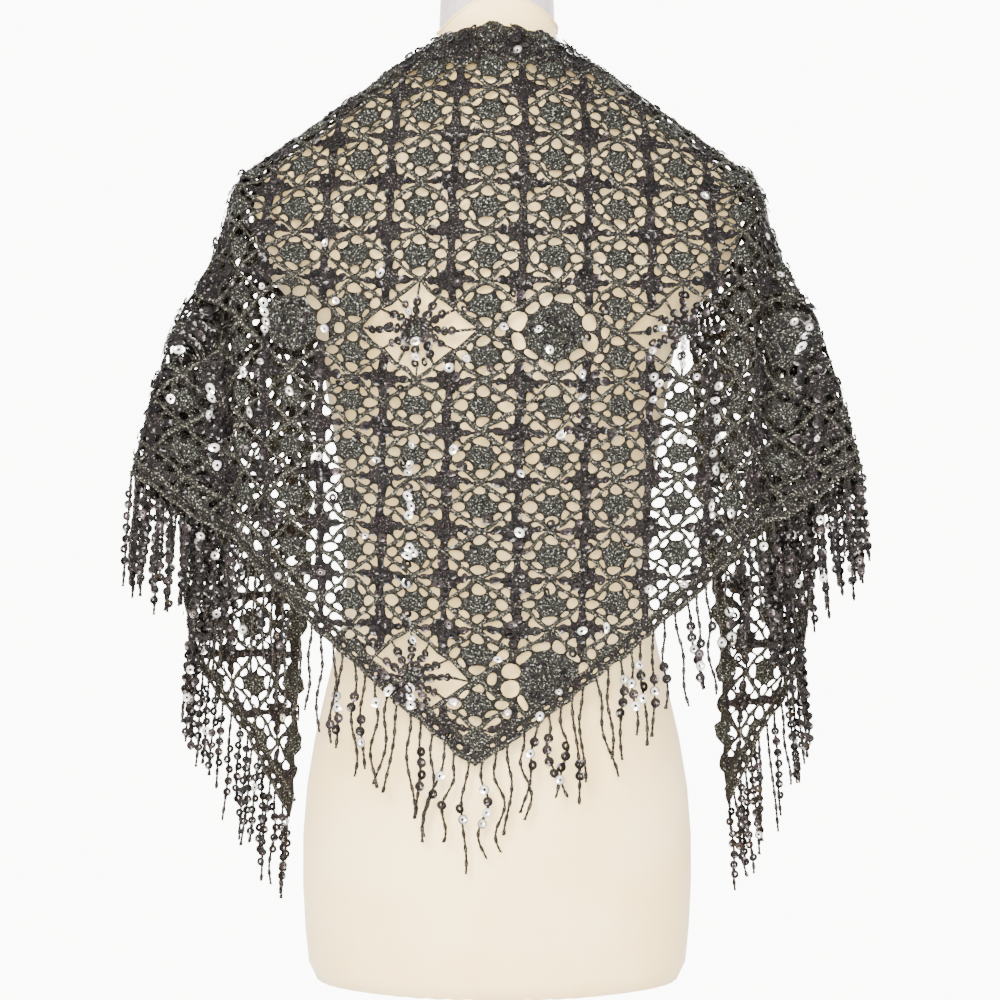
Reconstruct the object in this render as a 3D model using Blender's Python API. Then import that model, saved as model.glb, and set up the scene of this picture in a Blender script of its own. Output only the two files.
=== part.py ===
"""Evening stole worn on a limbless dress form.

The stole is one triangle of knitted lace. It is modelled the way it is made and worn: a flat
slab with the gaps of the lace cut through it, then every point of the slab is draped over the
shoulders by one function. The wearer's front faces +Y, so the back of the stole faces -Y.
The origin is on the floor, in the middle of the stand's base. Units are metres.
"""

import math

import bmesh
import bpy
import numpy as np
from mathutils import Matrix, Vector

# Flat cut of the stole: a triangle with its long edge at the neck and its point at the back.
HALF_LENGTH = 0.770
DEPTH = 0.610
CLOTH_THICKNESS = 0.0015
SEAM_GAP = 0.0003
MERGE_DISTANCE = 0.0001
ON_EDGE = 0.00001

# The lace repeats its rosette every REPEAT_WIDTH along the long edge and REPEAT_DEPTH below it.
REPEAT_WIDTH = 0.0504
REPEAT_DEPTH = 0.0400
GAP_WIDTH = 0.0100
GAP_MARGIN = 0.016

# How the triangle lies: turned and shifted a little to the wearer's left.
TWIST = math.radians(1.0)
SHIFT = -0.004
CENTRE_ROUNDING = 0.028

# The fold over each shoulder starts beside the neck and runs down to the shoulder's tip.
NECK_FLAT = 0.070
NECK_X = 0.057
NECK_Z = 1.449
RIDGE_Y = -0.022
RIDGE_SLOPE = math.radians(35.5)
RIDGE_LENGTH = 0.178
TIP_ROUNDING = 0.026
BACK_REACH = 0.100
FRONT_REACH = 0.118
ANGLE_EASING = 0.6

# Beyond the shoulder's tip the cloth fans out in flutes, between two angles round the tip.
FAN_START = math.radians(38)
FAN_END = math.radians(146)
FAN_FLARE = math.radians(1.5)
FRONT_SWING = 0.72
SWING_SOFTNESS = math.radians(5)
FLUTES = 3
FRONT_CALM = 0.6
CALM_START = 0.4
FLUTE_STEEPEST = 2.0
FLUTE_FREE_RADIUS = 0.045
FLUTE_GROWTH = 0.11
FLUTE_FADE_START = 0.27
FLUTE_FADE_LENGTH = 0.22
FLUTE_FADE = 0.75
FAN_STEPS = 96
STEEPNESS_STEPS = 40
NORMAL_REACH = 0.003

# Where the stretches of the stole part, as distances from the middle along the flat long edge.
BACK_HALF = 0.2016
TAIL_START = 0.4536

# Fringe: a narrow strip sewn along the two short edges, with twisted strands hanging from it.
FRINGE_PITCH = 0.0118
ROOT_SHORTEST = 0.0060
STRIP_WIDTH = 0.0050
STRAND_LENGTH = 0.078
STRAND_SPREAD = 0.014
STRAND_ROOT = 0.0022
STRAND_TIP = 0.0016
ROOT_REACH = 0.0030
ROOT_DROP = 0.0015
STRANDS_APART = 0.0045
STRAND_SWAY = 0.006
STRAND_WAVE = 2.4
STRAND_BEAT = 0.9

# Dress form: sections from the hip up to the neck. A section is an ellipse where its fullness
# is 2, and more like a lozenge below that, as over the shoulders.
FORM_SIDES = 28
FORM_COLUMNS = ("height", "half_width", "half_depth", "centre_y", "fullness")
FORM_SECTIONS = (
    (0.675, 0.150, 0.112, 0.004, 2.0),
    (0.685, 0.156, 0.118, 0.004, 2.0),
    (0.760, 0.162, 0.120, 0.004, 2.0),
    (0.840, 0.160, 0.114, 0.004, 2.0),
    (0.920, 0.142, 0.100, 0.000, 2.0),
    (1.000, 0.120, 0.086, 0.000, 2.0),
    (1.080, 0.126, 0.092, 0.002, 2.0),
    (1.160, 0.140, 0.103, 0.006, 2.0),
    (1.210, 0.146, 0.106, 0.006, 2.0),
    (1.235, 0.164, 0.102, 0.002, 2.0),
    (1.255, 0.184, 0.096, -0.004, 2.0),
    (1.280, 0.194, 0.086, -0.008, 2.0),
    (1.305, 0.197, 0.073, -0.014, 2.0),
    (1.325, 0.194, 0.062, -0.018, 1.9),
    (1.342, 0.184, 0.053, -0.020, 1.8),
    (1.358, 0.167, 0.048, -0.020, 1.6),
    (1.376, 0.143, 0.046, -0.018, 1.40),
    (1.394, 0.119, 0.047, -0.017, 1.15),
    (1.412, 0.094, 0.049, -0.017, 0.92),
    (1.430, 0.069, 0.051, -0.011, 0.80),
    (1.442, 0.057, 0.051, 0.002, 1.10),
    (1.452, 0.051, 0.048, 0.014, 2.00),
)
NECK_TOP = 1.500
NECK_EDGE = 0.005
NECK_SHRINK = 0.96

# Stand: a turned pole into a round base.
POLE_RADIUS = 0.015
BASE_RADIUS = 0.180
BASE_THICKNESS = 0.012
BASE_EDGE = 0.003
ROUND_SIDES = 32
SHARP_ANGLE = math.radians(50)

COLLECTION = "evening_stole_on_dress_form"


def clear_scene():
    """Remove whatever the scene starts with."""
    for thing in list(bpy.context.scene.objects):
        bpy.data.objects.remove(thing, do_unlink=True)


def material(name, colour, roughness, metallic=0.0):
    """A plain Principled material in the colour of the piece."""
    made = bpy.data.materials.new(name)
    made.use_nodes = True
    shader = made.node_tree.nodes["Principled BSDF"]
    shader.inputs["Base Color"].default_value = (*colour, 1.0)
    shader.inputs["Roughness"].default_value = roughness
    shader.inputs["Metallic"].default_value = metallic
    return made


def add_object(name, mesh, surface, collection):
    """Link a mesh as one named sub-part."""
    made = bpy.data.objects.new(name, mesh)
    made.data.materials.append(surface)
    collection.objects.link(made)
    return made


def finish_mesh(shape, name):
    """Turn a bmesh into a smooth mesh of triangles."""
    bmesh.ops.triangulate(shape, faces=shape.faces)
    mesh = bpy.data.meshes.new(name)
    shape.to_mesh(mesh)
    shape.free()
    mesh.shade_smooth()
    return mesh


# Drape


def flute_tables():
    """How far a fluted section gets forwards and outwards, by its steepness and its share.

    The section's heading swings like a sine, so that its length is the cloth's own length."""
    steepness = np.linspace(0.0, FLUTE_STEEPEST, STEEPNESS_STEPS + 1)
    share = (np.arange(FAN_STEPS) + 0.5) / FAN_STEPS
    calm = 1.0 - FRONT_CALM * np.clip((share - CALM_START) / (1.0 - CALM_START), 0.0, 1.0)
    heading = steepness[:, None] * calm * np.sin(2.0 * math.pi * FLUTES * share)
    start = np.zeros((STEEPNESS_STEPS + 1, 1))
    forwards = np.hstack([start, np.cumsum(np.cos(heading), axis=1)]) / FAN_STEPS
    outwards = np.hstack([start, np.cumsum(np.sin(heading), axis=1)]) / FAN_STEPS
    outwards -= outwards[:, -1:] * np.linspace(0.0, 1.0, FAN_STEPS + 1)
    return steepness, forwards, outwards


STEEPNESS, FORWARDS, OUTWARDS = flute_tables()


def read_table(table, steepness, share):
    """Bilinear reading of a flute table."""
    row = np.clip(steepness / STEEPNESS[1], 0.0, STEEPNESS_STEPS - 1e-6)
    column = np.clip(share * FAN_STEPS, 0.0, FAN_STEPS - 1e-6)
    row_low = row.astype(int)
    column_low = column.astype(int)
    row_part = row - row_low
    column_part = column - column_low
    low = table[row_low, column_low] * (1 - column_part) + table[row_low, column_low + 1] * column_part
    high = table[row_low + 1, column_low] * (1 - column_part)
    high = high + table[row_low + 1, column_low + 1] * column_part
    return low * (1 - row_part) + high * row_part


def soft_minimum(values):
    """The least of several angles, rounded where they meet."""
    return -SWING_SOFTNESS * np.log(sum(np.exp(-value / SWING_SOFTNESS) for value in values))


def drape(along, below):
    """The worn place of flat points, as an array of x, y and z."""
    turned = along * math.cos(TWIST) - below * math.sin(TWIST) + SHIFT
    below = below * math.cos(TWIST) + along * math.sin(TWIST)
    side = np.hypot(turned, CENTRE_ROUNDING)
    slope_cos = math.cos(RIDGE_SLOPE)
    slope_sin = math.sin(RIDGE_SLOPE)
    on_ridge = (side - NECK_FLAT) * slope_cos + below * slope_sin
    off_ridge = below * slope_cos - (side - NECK_FLAT) * slope_sin
    past_tip = np.maximum(on_ridge - RIDGE_LENGTH, 0.0)
    on_ridge = np.minimum(on_ridge, RIDGE_LENGTH)
    radius = np.hypot(past_tip, off_ridge) + 1e-9
    angle = np.arctan2(past_tip, off_ridge)

    # Fore and aft: rounded from the ridge to the back plane and to the front plane.
    share = np.clip((angle - FAN_START) / (FAN_END - FAN_START), 0.0, 1.0)
    back = -BACK_REACH * (1 - np.exp(-radius / BACK_REACH))
    back = back * np.cos(ANGLE_EASING * np.minimum(angle, FAN_START))
    front = FRONT_REACH * (1 - np.exp(-radius / FRONT_REACH))
    front = front * np.cos(ANGLE_EASING * (math.pi - np.maximum(angle, FAN_END)))
    fan_arc = radius * (FAN_END - FAN_START)
    steep = np.interp(-(front - back) / fan_arc, -FORWARDS[:, -1], STEEPNESS)
    steep = steep * np.clip((radius - FLUTE_FREE_RADIUS) / FLUTE_GROWTH, 0.0, 1.0)
    steep = steep * (1 - FLUTE_FADE * np.clip((radius - FLUTE_FADE_START) / FLUTE_FADE_LENGTH, 0.0, 1.0))
    whole = read_table(FORWARDS, steep, np.ones_like(share))
    fore = back + (front - back) * read_table(FORWARDS, steep, share) / whole

    # Down: what the rounding and the flutes leave of the length.
    reach = np.where(fore < 0, BACK_REACH, FRONT_REACH)
    lean = np.clip(np.abs(fore) / (reach * (1 - np.exp(-radius / reach))), 0.0, 1.0)
    upright = np.sqrt(1 - lean**2 * np.exp(-2 * radius / reach))
    level = np.sqrt(1 - lean**2)
    length = radius + reach * (np.log((1 + upright) / (1 + level)) - (upright - level))
    flare = np.full_like(angle, RIDGE_SLOPE + FAN_FLARE)
    swing = soft_minimum([angle, flare, FRONT_SWING * (math.pi - angle)]) - RIDGE_SLOPE
    out = length * np.sin(swing) + fan_arc * read_table(OUTWARDS, steep, share)
    down = np.sqrt(np.maximum(length**2 - out**2, 0.0))

    rounding = np.sin(angle) * TIP_ROUNDING * (1 - np.exp(-radius / TIP_ROUNDING))
    x = NECK_X + on_ridge * slope_cos + out + rounding * (slope_cos - np.sin(swing))
    z = NECK_Z - on_ridge * slope_sin - down + rounding * (np.cos(swing) - slope_sin)
    return np.stack([x * turned / side, RIDGE_Y + fore, z], axis=-1)


def worn(flat):
    """The worn place of slab points: along, below, and height above the cloth's middle."""
    flat = np.asarray(flat, dtype=float)
    step = NORMAL_REACH
    place = drape(flat[:, 0], flat[:, 1])
    along = drape(flat[:, 0] + step, flat[:, 1]) - drape(flat[:, 0] - step, flat[:, 1])
    below = drape(flat[:, 0], flat[:, 1] + step) - drape(flat[:, 0], flat[:, 1] - step)
    normal = np.cross(below, along)
    normal /= np.linalg.norm(normal, axis=1, keepdims=True)
    return place - normal * flat[:, 2:3]


def drape_shape(shape, kept=()):
    """Move every vertex of a flat slab to where it is worn.

    Its walls are split across their shorter diagonal, so that two walls at a seam run side by
    side. The kept faces stay whole."""
    flat = np.array([vertex.co[:] for vertex in shape.verts])
    for vertex, place in zip(shape.verts, worn(flat)):
        vertex.co = Vector(place)
    walls = [face for face in shape.faces if face not in kept]
    bmesh.ops.triangulate(shape, faces=walls, quad_method="SHORT_EDGE")


# Cloth


def short_edge_distance(along, below):
    """How far a flat point lies inside the nearer short edge."""
    length = math.hypot(HALF_LENGTH, DEPTH)
    return (HALF_LENGTH * DEPTH - abs(along) * DEPTH - below * HALF_LENGTH) / length


def is_gap(centre):
    """Whether a cell of the net is the largest gap of its repeat, clear of the edges."""
    column = round(abs(centre.x) / (REPEAT_WIDTH / 3))
    row = round(centre.y / (REPEAT_DEPTH / 2))
    in_repeat = column % 3 == 1 and row % 2 == 0 and row > 0
    return in_repeat and short_edge_distance(centre.x, centre.y) > GAP_MARGIN


def laid_grid(start, end):
    """A flat net of cells over the whole depth, from one column to another, clipped there.

    Its cells centre on the rosettes and on the gaps between them."""
    width = REPEAT_WIDTH / 3
    depth = REPEAT_DEPTH / 2
    first = math.floor(start / width + 0.5)
    last = math.ceil(end / width + 0.5)
    columns = last - first
    rows = math.ceil(DEPTH / depth) + 1
    shape = bmesh.new()
    bmesh.ops.create_grid(shape, x_segments=columns, y_segments=rows, size=0.5)
    size = Matrix.Diagonal((columns * width, rows * depth, 1.0, 1.0))
    middle = ((first + last - 1) / 2 * width, (rows / 2 - 0.5) * depth, 0.0)
    bmesh.ops.transform(shape, matrix=Matrix.Translation(middle) @ size, verts=shape.verts)
    return shape


def cut_gaps(shape):
    """Open the largest gap of each repeat."""
    gaps = [face for face in shape.faces if is_gap(face.calc_center_median())]
    inset = (REPEAT_WIDTH / 3 - GAP_WIDTH) / 2
    bmesh.ops.inset_individual(shape, faces=gaps, thickness=inset, use_even_offset=True)
    bmesh.ops.delete(shape, geom=gaps, context="FACES_ONLY")


def short_edge_line(sign, inside):
    """A point and the outward direction of a line along a short edge."""
    outward = Vector((sign * DEPTH, HALF_LENGTH, 0)).normalized()
    return Vector((0, DEPTH, 0)) - outward * inside, outward


def trim(shape, point, outward):
    """Cut away what lies beyond a line."""
    everything = list(shape.verts) + list(shape.edges) + list(shape.faces)
    bmesh.ops.bisect_plane(
        shape, geom=everything, plane_co=point, plane_no=outward, clear_outer=True, dist=1e-6
    )


def thicken(shape):
    """Give a flat sheet its thickness, half to each side, in triangles that bend with it."""
    made = bmesh.ops.extrude_face_region(shape, geom=list(shape.faces), use_keep_orig=True)
    lifted = [item for item in made["geom"] if isinstance(item, bmesh.types.BMVert)]
    bmesh.ops.translate(shape, verts=shape.verts, vec=(0, 0, -CLOTH_THICKNESS / 2))
    bmesh.ops.translate(shape, verts=lifted, vec=(0, 0, CLOTH_THICKNESS))
    bmesh.ops.recalc_face_normals(shape, faces=shape.faces)
    sheets = [face for face in shape.faces if abs(face.normal.z) > 0.5]
    bmesh.ops.triangulate(shape, faces=sheets)


def cloth_stretch(name, start, end, surface, collection):
    """One stretch of the stole, cut flat and draped."""
    half_gap = SEAM_GAP / 2
    shape = laid_grid(start, end)
    cut_gaps(shape)
    trim(shape, (start + half_gap, 0, 0), (-1, 0, 0))
    trim(shape, (end - half_gap, 0, 0), (1, 0, 0))
    trim(shape, (0, 0, 0), (0, -1, 0))
    for sign in (-1, 1):
        trim(shape, *short_edge_line(sign, STRIP_WIDTH + SEAM_GAP))
    bmesh.ops.remove_doubles(shape, verts=shape.verts, dist=MERGE_DISTANCE)
    thicken(shape)
    drape_shape(shape)
    add_object(name, finish_mesh(shape, name), surface, collection)


# Fringe


def fringe_stretch(name, sign, near, far, surface, collection):
    """A strip along a short edge, its outer side drawn out into strands.

    It is cut from the same net as the cloth, so the two edges run side by side."""
    half_gap = SEAM_GAP / 2
    start, end = sorted((sign * near, sign * far))
    shape = laid_grid(start, end)
    trim(shape, (start + half_gap, 0, 0), (-1, 0, 0))
    trim(shape, (end - half_gap, 0, 0), (1, 0, 0))
    trim(shape, (0, 0, 0), (0, -1, 0))
    inner, outward = short_edge_line(sign, STRIP_WIDTH)
    trim(shape, inner, -outward)
    trim(shape, *short_edge_line(sign, 0.0))
    bmesh.ops.remove_doubles(shape, verts=shape.verts, dist=MERGE_DISTANCE)
    hem = [edge for edge in shape.edges if on_short_edge(edge)]
    for edge in hem:
        cuts = round(edge.calc_length() / FRINGE_PITCH) - 1
        if cuts > 0:
            bmesh.ops.subdivide_edges(shape, edges=[edge], cuts=cuts)
    thicken(shape)
    roots = [face for face in shape.faces if face.normal.dot(outward) > 0.9]
    roots = [face for face in roots if face.calc_perimeter() / 2 > ROOT_SHORTEST]
    roots.sort(key=lambda face: face.calc_center_median().x)
    drape_shape(shape, roots)
    last_place = None
    for number, root in enumerate(roots):
        place = root.calc_center_median()
        if last_place is None or (place - last_place).xy.length > STRANDS_APART:
            last_place = place
            hang_strand(shape, root, number)
    add_object(name, finish_mesh(shape, name), surface, collection)


def on_short_edge(edge):
    """Whether a flat edge lies on a short edge of the triangle."""
    return all(short_edge_distance(vertex.co.x, vertex.co.y) < ON_EDGE for vertex in edge.verts)


def hang_strand(shape, root, number):
    """Draw one face of the strip out into a strand that hangs down."""
    uneven = math.sin(number * STRAND_WAVE) * math.cos(number * STRAND_BEAT)
    length = STRAND_LENGTH + STRAND_SPREAD * uneven
    centre = root.calc_center_median()
    outward = Vector((centre.x, centre.y, 0)).normalized()
    sway = outward * STRAND_SWAY
    root.normal_update()
    knot = centre + root.normal * ROOT_REACH + Vector((0, 0, -ROOT_DROP))
    first = extrude_to(shape, root, knot, STRAND_ROOT)
    extrude_to(shape, first, knot + sway + Vector((0, 0, -length)), STRAND_TIP)


def extrude_to(shape, face, place, width):
    """Extrude a face to a place, level, as a square of the given width."""
    corners = [(-1, -1), (1, -1), (1, 1), (-1, 1)]
    made = bmesh.ops.extrude_discrete_faces(shape, faces=[face])["faces"][0]
    centre = made.calc_center_median()
    ring = [loop.vert for loop in made.loops]
    spokes = [vertex.co - centre for vertex in ring]
    start = math.atan2(spokes[0].y, spokes[0].x)
    turn = spokes[0].cross(spokes[1]).z
    order = corners if turn > 0 else corners[::-1]
    angles = [math.atan2(y, x) for x, y in order]
    nearest = min(range(4), key=lambda i: abs(math.remainder(angles[i] - start, 2 * math.pi)))
    for index, vertex in enumerate(ring):
        x, y = order[(nearest + index) % 4]
        vertex.co = place + Vector((x, y, 0)) * width / 2
    return made


# Dress form and stand


def form_torso(surface, collection):
    """The torso, a ring drawn up through its sections."""
    shape = bmesh.new()
    ring = bmesh.ops.create_circle(shape, segments=FORM_SIDES, radius=1.0)["verts"]
    bmesh.ops.contextual_create(shape, geom=ring)
    edges = list(shape.edges)
    for _ in FORM_SECTIONS[1:]:
        made = bmesh.ops.extrude_edge_only(shape, edges=edges)["geom"]
        ring = [item for item in made if isinstance(item, bmesh.types.BMVert)]
        edges = [item for item in made if isinstance(item, bmesh.types.BMEdge)]
        edges = [edge for edge in edges if all(vertex in ring for vertex in edge.verts)]
        bmesh.ops.translate(shape, verts=ring, vec=(0, 0, 1))
    bmesh.ops.contextual_create(shape, geom=edges)
    for vertex in shape.verts:
        section = dict(zip(FORM_COLUMNS, FORM_SECTIONS[round(vertex.co.z)]))
        power = 2.0 / section["fullness"]
        across = math.copysign(abs(vertex.co.x) ** power, vertex.co.x)
        deep = math.copysign(abs(vertex.co.y) ** power, vertex.co.y)
        vertex.co.x = section["half_width"] * across
        vertex.co.y = section["centre_y"] + section["half_depth"] * deep
        vertex.co.z = section["height"]
    bmesh.ops.recalc_face_normals(shape, faces=shape.faces)
    add_object("form_torso", finish_mesh(shape, "form_torso"), surface, collection)


def turned_solid(name, radius, low, high, centre_y, surface, collection, top_radius=None, edge=0.0):
    """A round solid with its bottom and top at two heights, its edges rounded if asked."""
    shape = bmesh.new()
    bmesh.ops.create_cone(
        shape, cap_ends=True, segments=ROUND_SIDES, radius1=radius,
        radius2=top_radius or radius, depth=high - low,
    )
    middle = Vector((0, centre_y, (low + high) / 2))
    bmesh.ops.translate(shape, verts=shape.verts, vec=middle)
    if edge:
        rim = [item for item in shape.edges if min(v.co.z for v in item.verts) > high - ON_EDGE]
        bmesh.ops.bevel(
            shape, geom=rim, offset=edge, segments=3, profile=0.5, affect="EDGES", material=-1
        )
    mesh = finish_mesh(shape, name)
    mesh.set_sharp_from_angle(angle=SHARP_ANGLE)
    add_object(name, mesh, surface, collection)


def build():
    clear_scene()
    collection = bpy.data.collections.new(COLLECTION)
    bpy.context.scene.collection.children.link(collection)
    lace = material("lurex_lace", (0.075, 0.072, 0.075), 0.55, 0.2)
    thread = material("black_thread", (0.03, 0.028, 0.032), 0.45, 0.1)
    jersey = material("cream_jersey", (0.83, 0.74, 0.60), 0.85)
    skin = material("pale_grey_plastic", (0.56, 0.53, 0.53), 0.5)
    metal = material("white_painted_steel", (0.80, 0.79, 0.77), 0.35)

    cloth_stretch("stole_back", -BACK_HALF, BACK_HALF, lace, collection)
    for side, sign in (("left", -1), ("right", 1)):
        stretches = (("side", BACK_HALF, TAIL_START), ("tail", TAIL_START, HALF_LENGTH))
        for stretch, near, far in stretches:
            start, end = sorted((sign * near, sign * far))
            cloth_stretch(f"stole_{side}_{stretch}", start, end, lace, collection)
            fringe_stretch(f"fringe_{side}_{stretch}", sign, near, far, thread, collection)
        fringe_stretch(f"fringe_{side}_back", sign, 0.0, BACK_HALF, thread, collection)

    form_torso(jersey, collection)
    top = dict(zip(FORM_COLUMNS, FORM_SECTIONS[-1]))
    bottom = dict(zip(FORM_COLUMNS, FORM_SECTIONS[0]))
    neck = top["half_depth"]
    turned_solid(
        "form_neck", neck, top["height"] + SEAM_GAP, NECK_TOP, top["centre_y"], skin,
        collection, top_radius=neck * NECK_SHRINK, edge=NECK_EDGE,
    )
    turned_solid(
        "stand_pole", POLE_RADIUS, BASE_THICKNESS + SEAM_GAP, bottom["height"] - SEAM_GAP,
        bottom["centre_y"], metal, collection,
    )
    turned_solid(
        "stand_base", BASE_RADIUS, 0.0, BASE_THICKNESS, 0.0, metal, collection, edge=BASE_EDGE
    )


build()
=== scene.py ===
# %% [markdown]
# # An evening stole on a dress form
#
# The real stole is one triangle of knitted lurex lace, worn with its long edge at the neck and
# its point at the middle of the back. Its lace repeats a small rosette, a four-petalled leaf
# flower and a chain, and sequins are sewn over it. A fringe of twisted thread hangs from its two
# short edges. It rests on the shoulders of a padded form on a round stand.
#
# The lace is made here the way it is made in life: flat, at its real sizes, with its holes open
# and its stitches raised. Then every point is draped by one function, so the pattern runs over
# the folds as cloth does. Units are metres.

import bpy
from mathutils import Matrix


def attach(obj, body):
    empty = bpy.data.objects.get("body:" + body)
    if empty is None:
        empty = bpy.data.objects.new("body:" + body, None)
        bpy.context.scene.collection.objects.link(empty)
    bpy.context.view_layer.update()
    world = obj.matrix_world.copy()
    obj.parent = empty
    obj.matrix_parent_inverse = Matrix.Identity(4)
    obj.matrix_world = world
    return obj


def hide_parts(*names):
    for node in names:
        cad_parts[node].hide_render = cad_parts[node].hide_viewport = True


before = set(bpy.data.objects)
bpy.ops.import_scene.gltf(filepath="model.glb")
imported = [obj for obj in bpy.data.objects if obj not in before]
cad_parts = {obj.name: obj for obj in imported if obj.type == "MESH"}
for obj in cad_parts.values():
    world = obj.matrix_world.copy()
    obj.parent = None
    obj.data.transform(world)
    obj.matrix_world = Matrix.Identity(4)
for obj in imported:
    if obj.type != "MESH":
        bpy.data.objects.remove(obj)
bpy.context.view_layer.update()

# %% [markdown]
# Hand sewing and wear are never regular, so small things vary by chance. All of it comes from one
# source with a fixed seed, which gives the same stole on every run.

# %% Tools, units and chance
import math

import bmesh
import bpy
import numpy as np
from mathutils import Matrix, Vector

MM = 0.001
SEED = 7
random = np.random.default_rng(SEED)
print("Blender", bpy.app.version_string, "numpy", np.__version__)

# %% [markdown]
# ## Sizes of the cloth and of how it lies
#
# These are the sizes of the CAD model, so that the lace lies exactly where its solids are: a
# triangle 1.54 m by 0.61 m, folded over each shoulder along a ridge, with flutes beyond the
# shoulder's tip. A drape by formula repeats the same on every run, which a simulation may not.

# %% Sizes of the cloth
HALF_LENGTH = 0.770
DEPTH = 0.610
REPEAT_WIDTH = 0.0504
REPEAT_DEPTH = 0.0400
BACK_HALF = 0.2016
TAIL_START = 0.4536
STRETCHES = (
    ("stole_back", -BACK_HALF, BACK_HALF),
    ("stole_left_side", -TAIL_START, -BACK_HALF),
    ("stole_right_side", BACK_HALF, TAIL_START),
    ("stole_left_tail", -HALF_LENGTH, -TAIL_START),
    ("stole_right_tail", TAIL_START, HALF_LENGTH),
)
print("triangle", 2 * HALF_LENGTH, "by", DEPTH, "m, a repeat", REPEAT_WIDTH, "by", REPEAT_DEPTH)

# %% Sizes of the drape
# The whole stole hangs turned by a degree and a little to the left.
TWIST = math.radians(1.0)
SHIFT = -0.004
# Its edge is nearly level at the nape, and then a ridge falls along each shoulder to its tip.
CENTRE_ROUNDING = 0.028
NECK_FLAT = 0.070
NECK_X = 0.057
NECK_Z = 1.449
RIDGE_Y = -0.022
RIDGE_SLOPE = math.radians(35.5)
RIDGE_LENGTH = 0.178
TIP_ROUNDING = 0.026
# From the ridge the cloth reaches this far to the back and to the front as it turns down.
BACK_REACH = 0.100
FRONT_REACH = 0.118
ANGLE_EASING = 0.6
# Past the tip it fans out between two angles round the arm, and swings away from it.
FAN_START = math.radians(38)
FAN_END = math.radians(146)
FAN_FLARE = math.radians(1.5)
FRONT_SWING = 0.72
SWING_SOFTNESS = math.radians(5)
# The surplus of the fan stands in flutes, which are calmer in front and fade lower down.
FLUTES = 3
FRONT_CALM = 0.6
CALM_START = 0.4
FLUTE_STEEPEST = 2.0
FLUTE_FREE_RADIUS = 0.045
FLUTE_GROWTH = 0.11
FLUTE_FADE_START = 0.27
FLUTE_FADE_LENGTH = 0.22
FLUTE_FADE = 0.75
FAN_STEPS = 96
STEEPNESS_STEPS = 40
NORMAL_REACH = 0.003
# Waves that pull the knit out of line: size, turns along and below, and phase.
PULLS = ((0.0009, 31.0, 17.0, 0.4), (0.0007, -19.0, 27.0, 2.1), (0.0004, 47.0, -39.0, 4.0))
PULL_DETUNING = 1.13
print("shoulder ridge", RIDGE_LENGTH, "m, falling", round(math.degrees(RIDGE_SLOPE), 1), "degrees")

# %% [markdown]
# Beyond the tip of the shoulder there is more cloth than room, and the surplus stands in flutes,
# as in a full skirt. The steeper they are, the less far a section of cloth gets. That is summed
# once, into two tables, because summing it anew for every point of the lace would be slow.

# %% Tables of the flutes
def flute_tables():
    """How far a fluted section gets forwards and outwards, by its steepness and its share."""
    steepness = np.linspace(0.0, FLUTE_STEEPEST, STEEPNESS_STEPS + 1)
    share = (np.arange(FAN_STEPS) + 0.5) / FAN_STEPS
    calm = 1.0 - FRONT_CALM * np.clip((share - CALM_START) / (1.0 - CALM_START), 0.0, 1.0)
    heading = steepness[:, None] * calm * np.sin(2.0 * math.pi * FLUTES * share)
    start = np.zeros((STEEPNESS_STEPS + 1, 1))
    forwards = np.hstack([start, np.cumsum(np.cos(heading), axis=1)]) / FAN_STEPS
    outwards = np.hstack([start, np.cumsum(np.sin(heading), axis=1)]) / FAN_STEPS
    outwards -= outwards[:, -1:] * np.linspace(0.0, 1.0, FAN_STEPS + 1)
    return steepness, forwards, outwards


STEEPNESS, FORWARDS, OUTWARDS = flute_tables()
print("the steepest flutes get", round(float(FORWARDS[-1, -1]), 3), "of the cloth's width")


def read_table(table, steepness, share):
    """Bilinear reading of a flute table."""
    row = np.clip(steepness / STEEPNESS[1], 0.0, STEEPNESS_STEPS - 1e-6)
    column = np.clip(share * FAN_STEPS, 0.0, FAN_STEPS - 1e-6)
    row_low = row.astype(int)
    column_low = column.astype(int)
    row_part = row - row_low
    column_part = column - column_low
    low = table[row_low, column_low] * (1 - column_part) + table[row_low, column_low + 1] * column_part
    high = table[row_low + 1, column_low] * (1 - column_part)
    high = high + table[row_low + 1, column_low + 1] * column_part
    return low * (1 - row_part) + high * row_part


def soft_minimum(values):
    """The least of several angles, rounded where they meet."""
    return -SWING_SOFTNESS * np.log(sum(np.exp(-value / SWING_SOFTNESS) for value in values))


# %% [markdown]
# The drape keeps the cloth's own length, as cloth hardly stretches. Down the back and the front
# it leaves the shoulder in a smooth curve. Beyond the tip it swings out from the arm and runs
# through the flutes.

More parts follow.
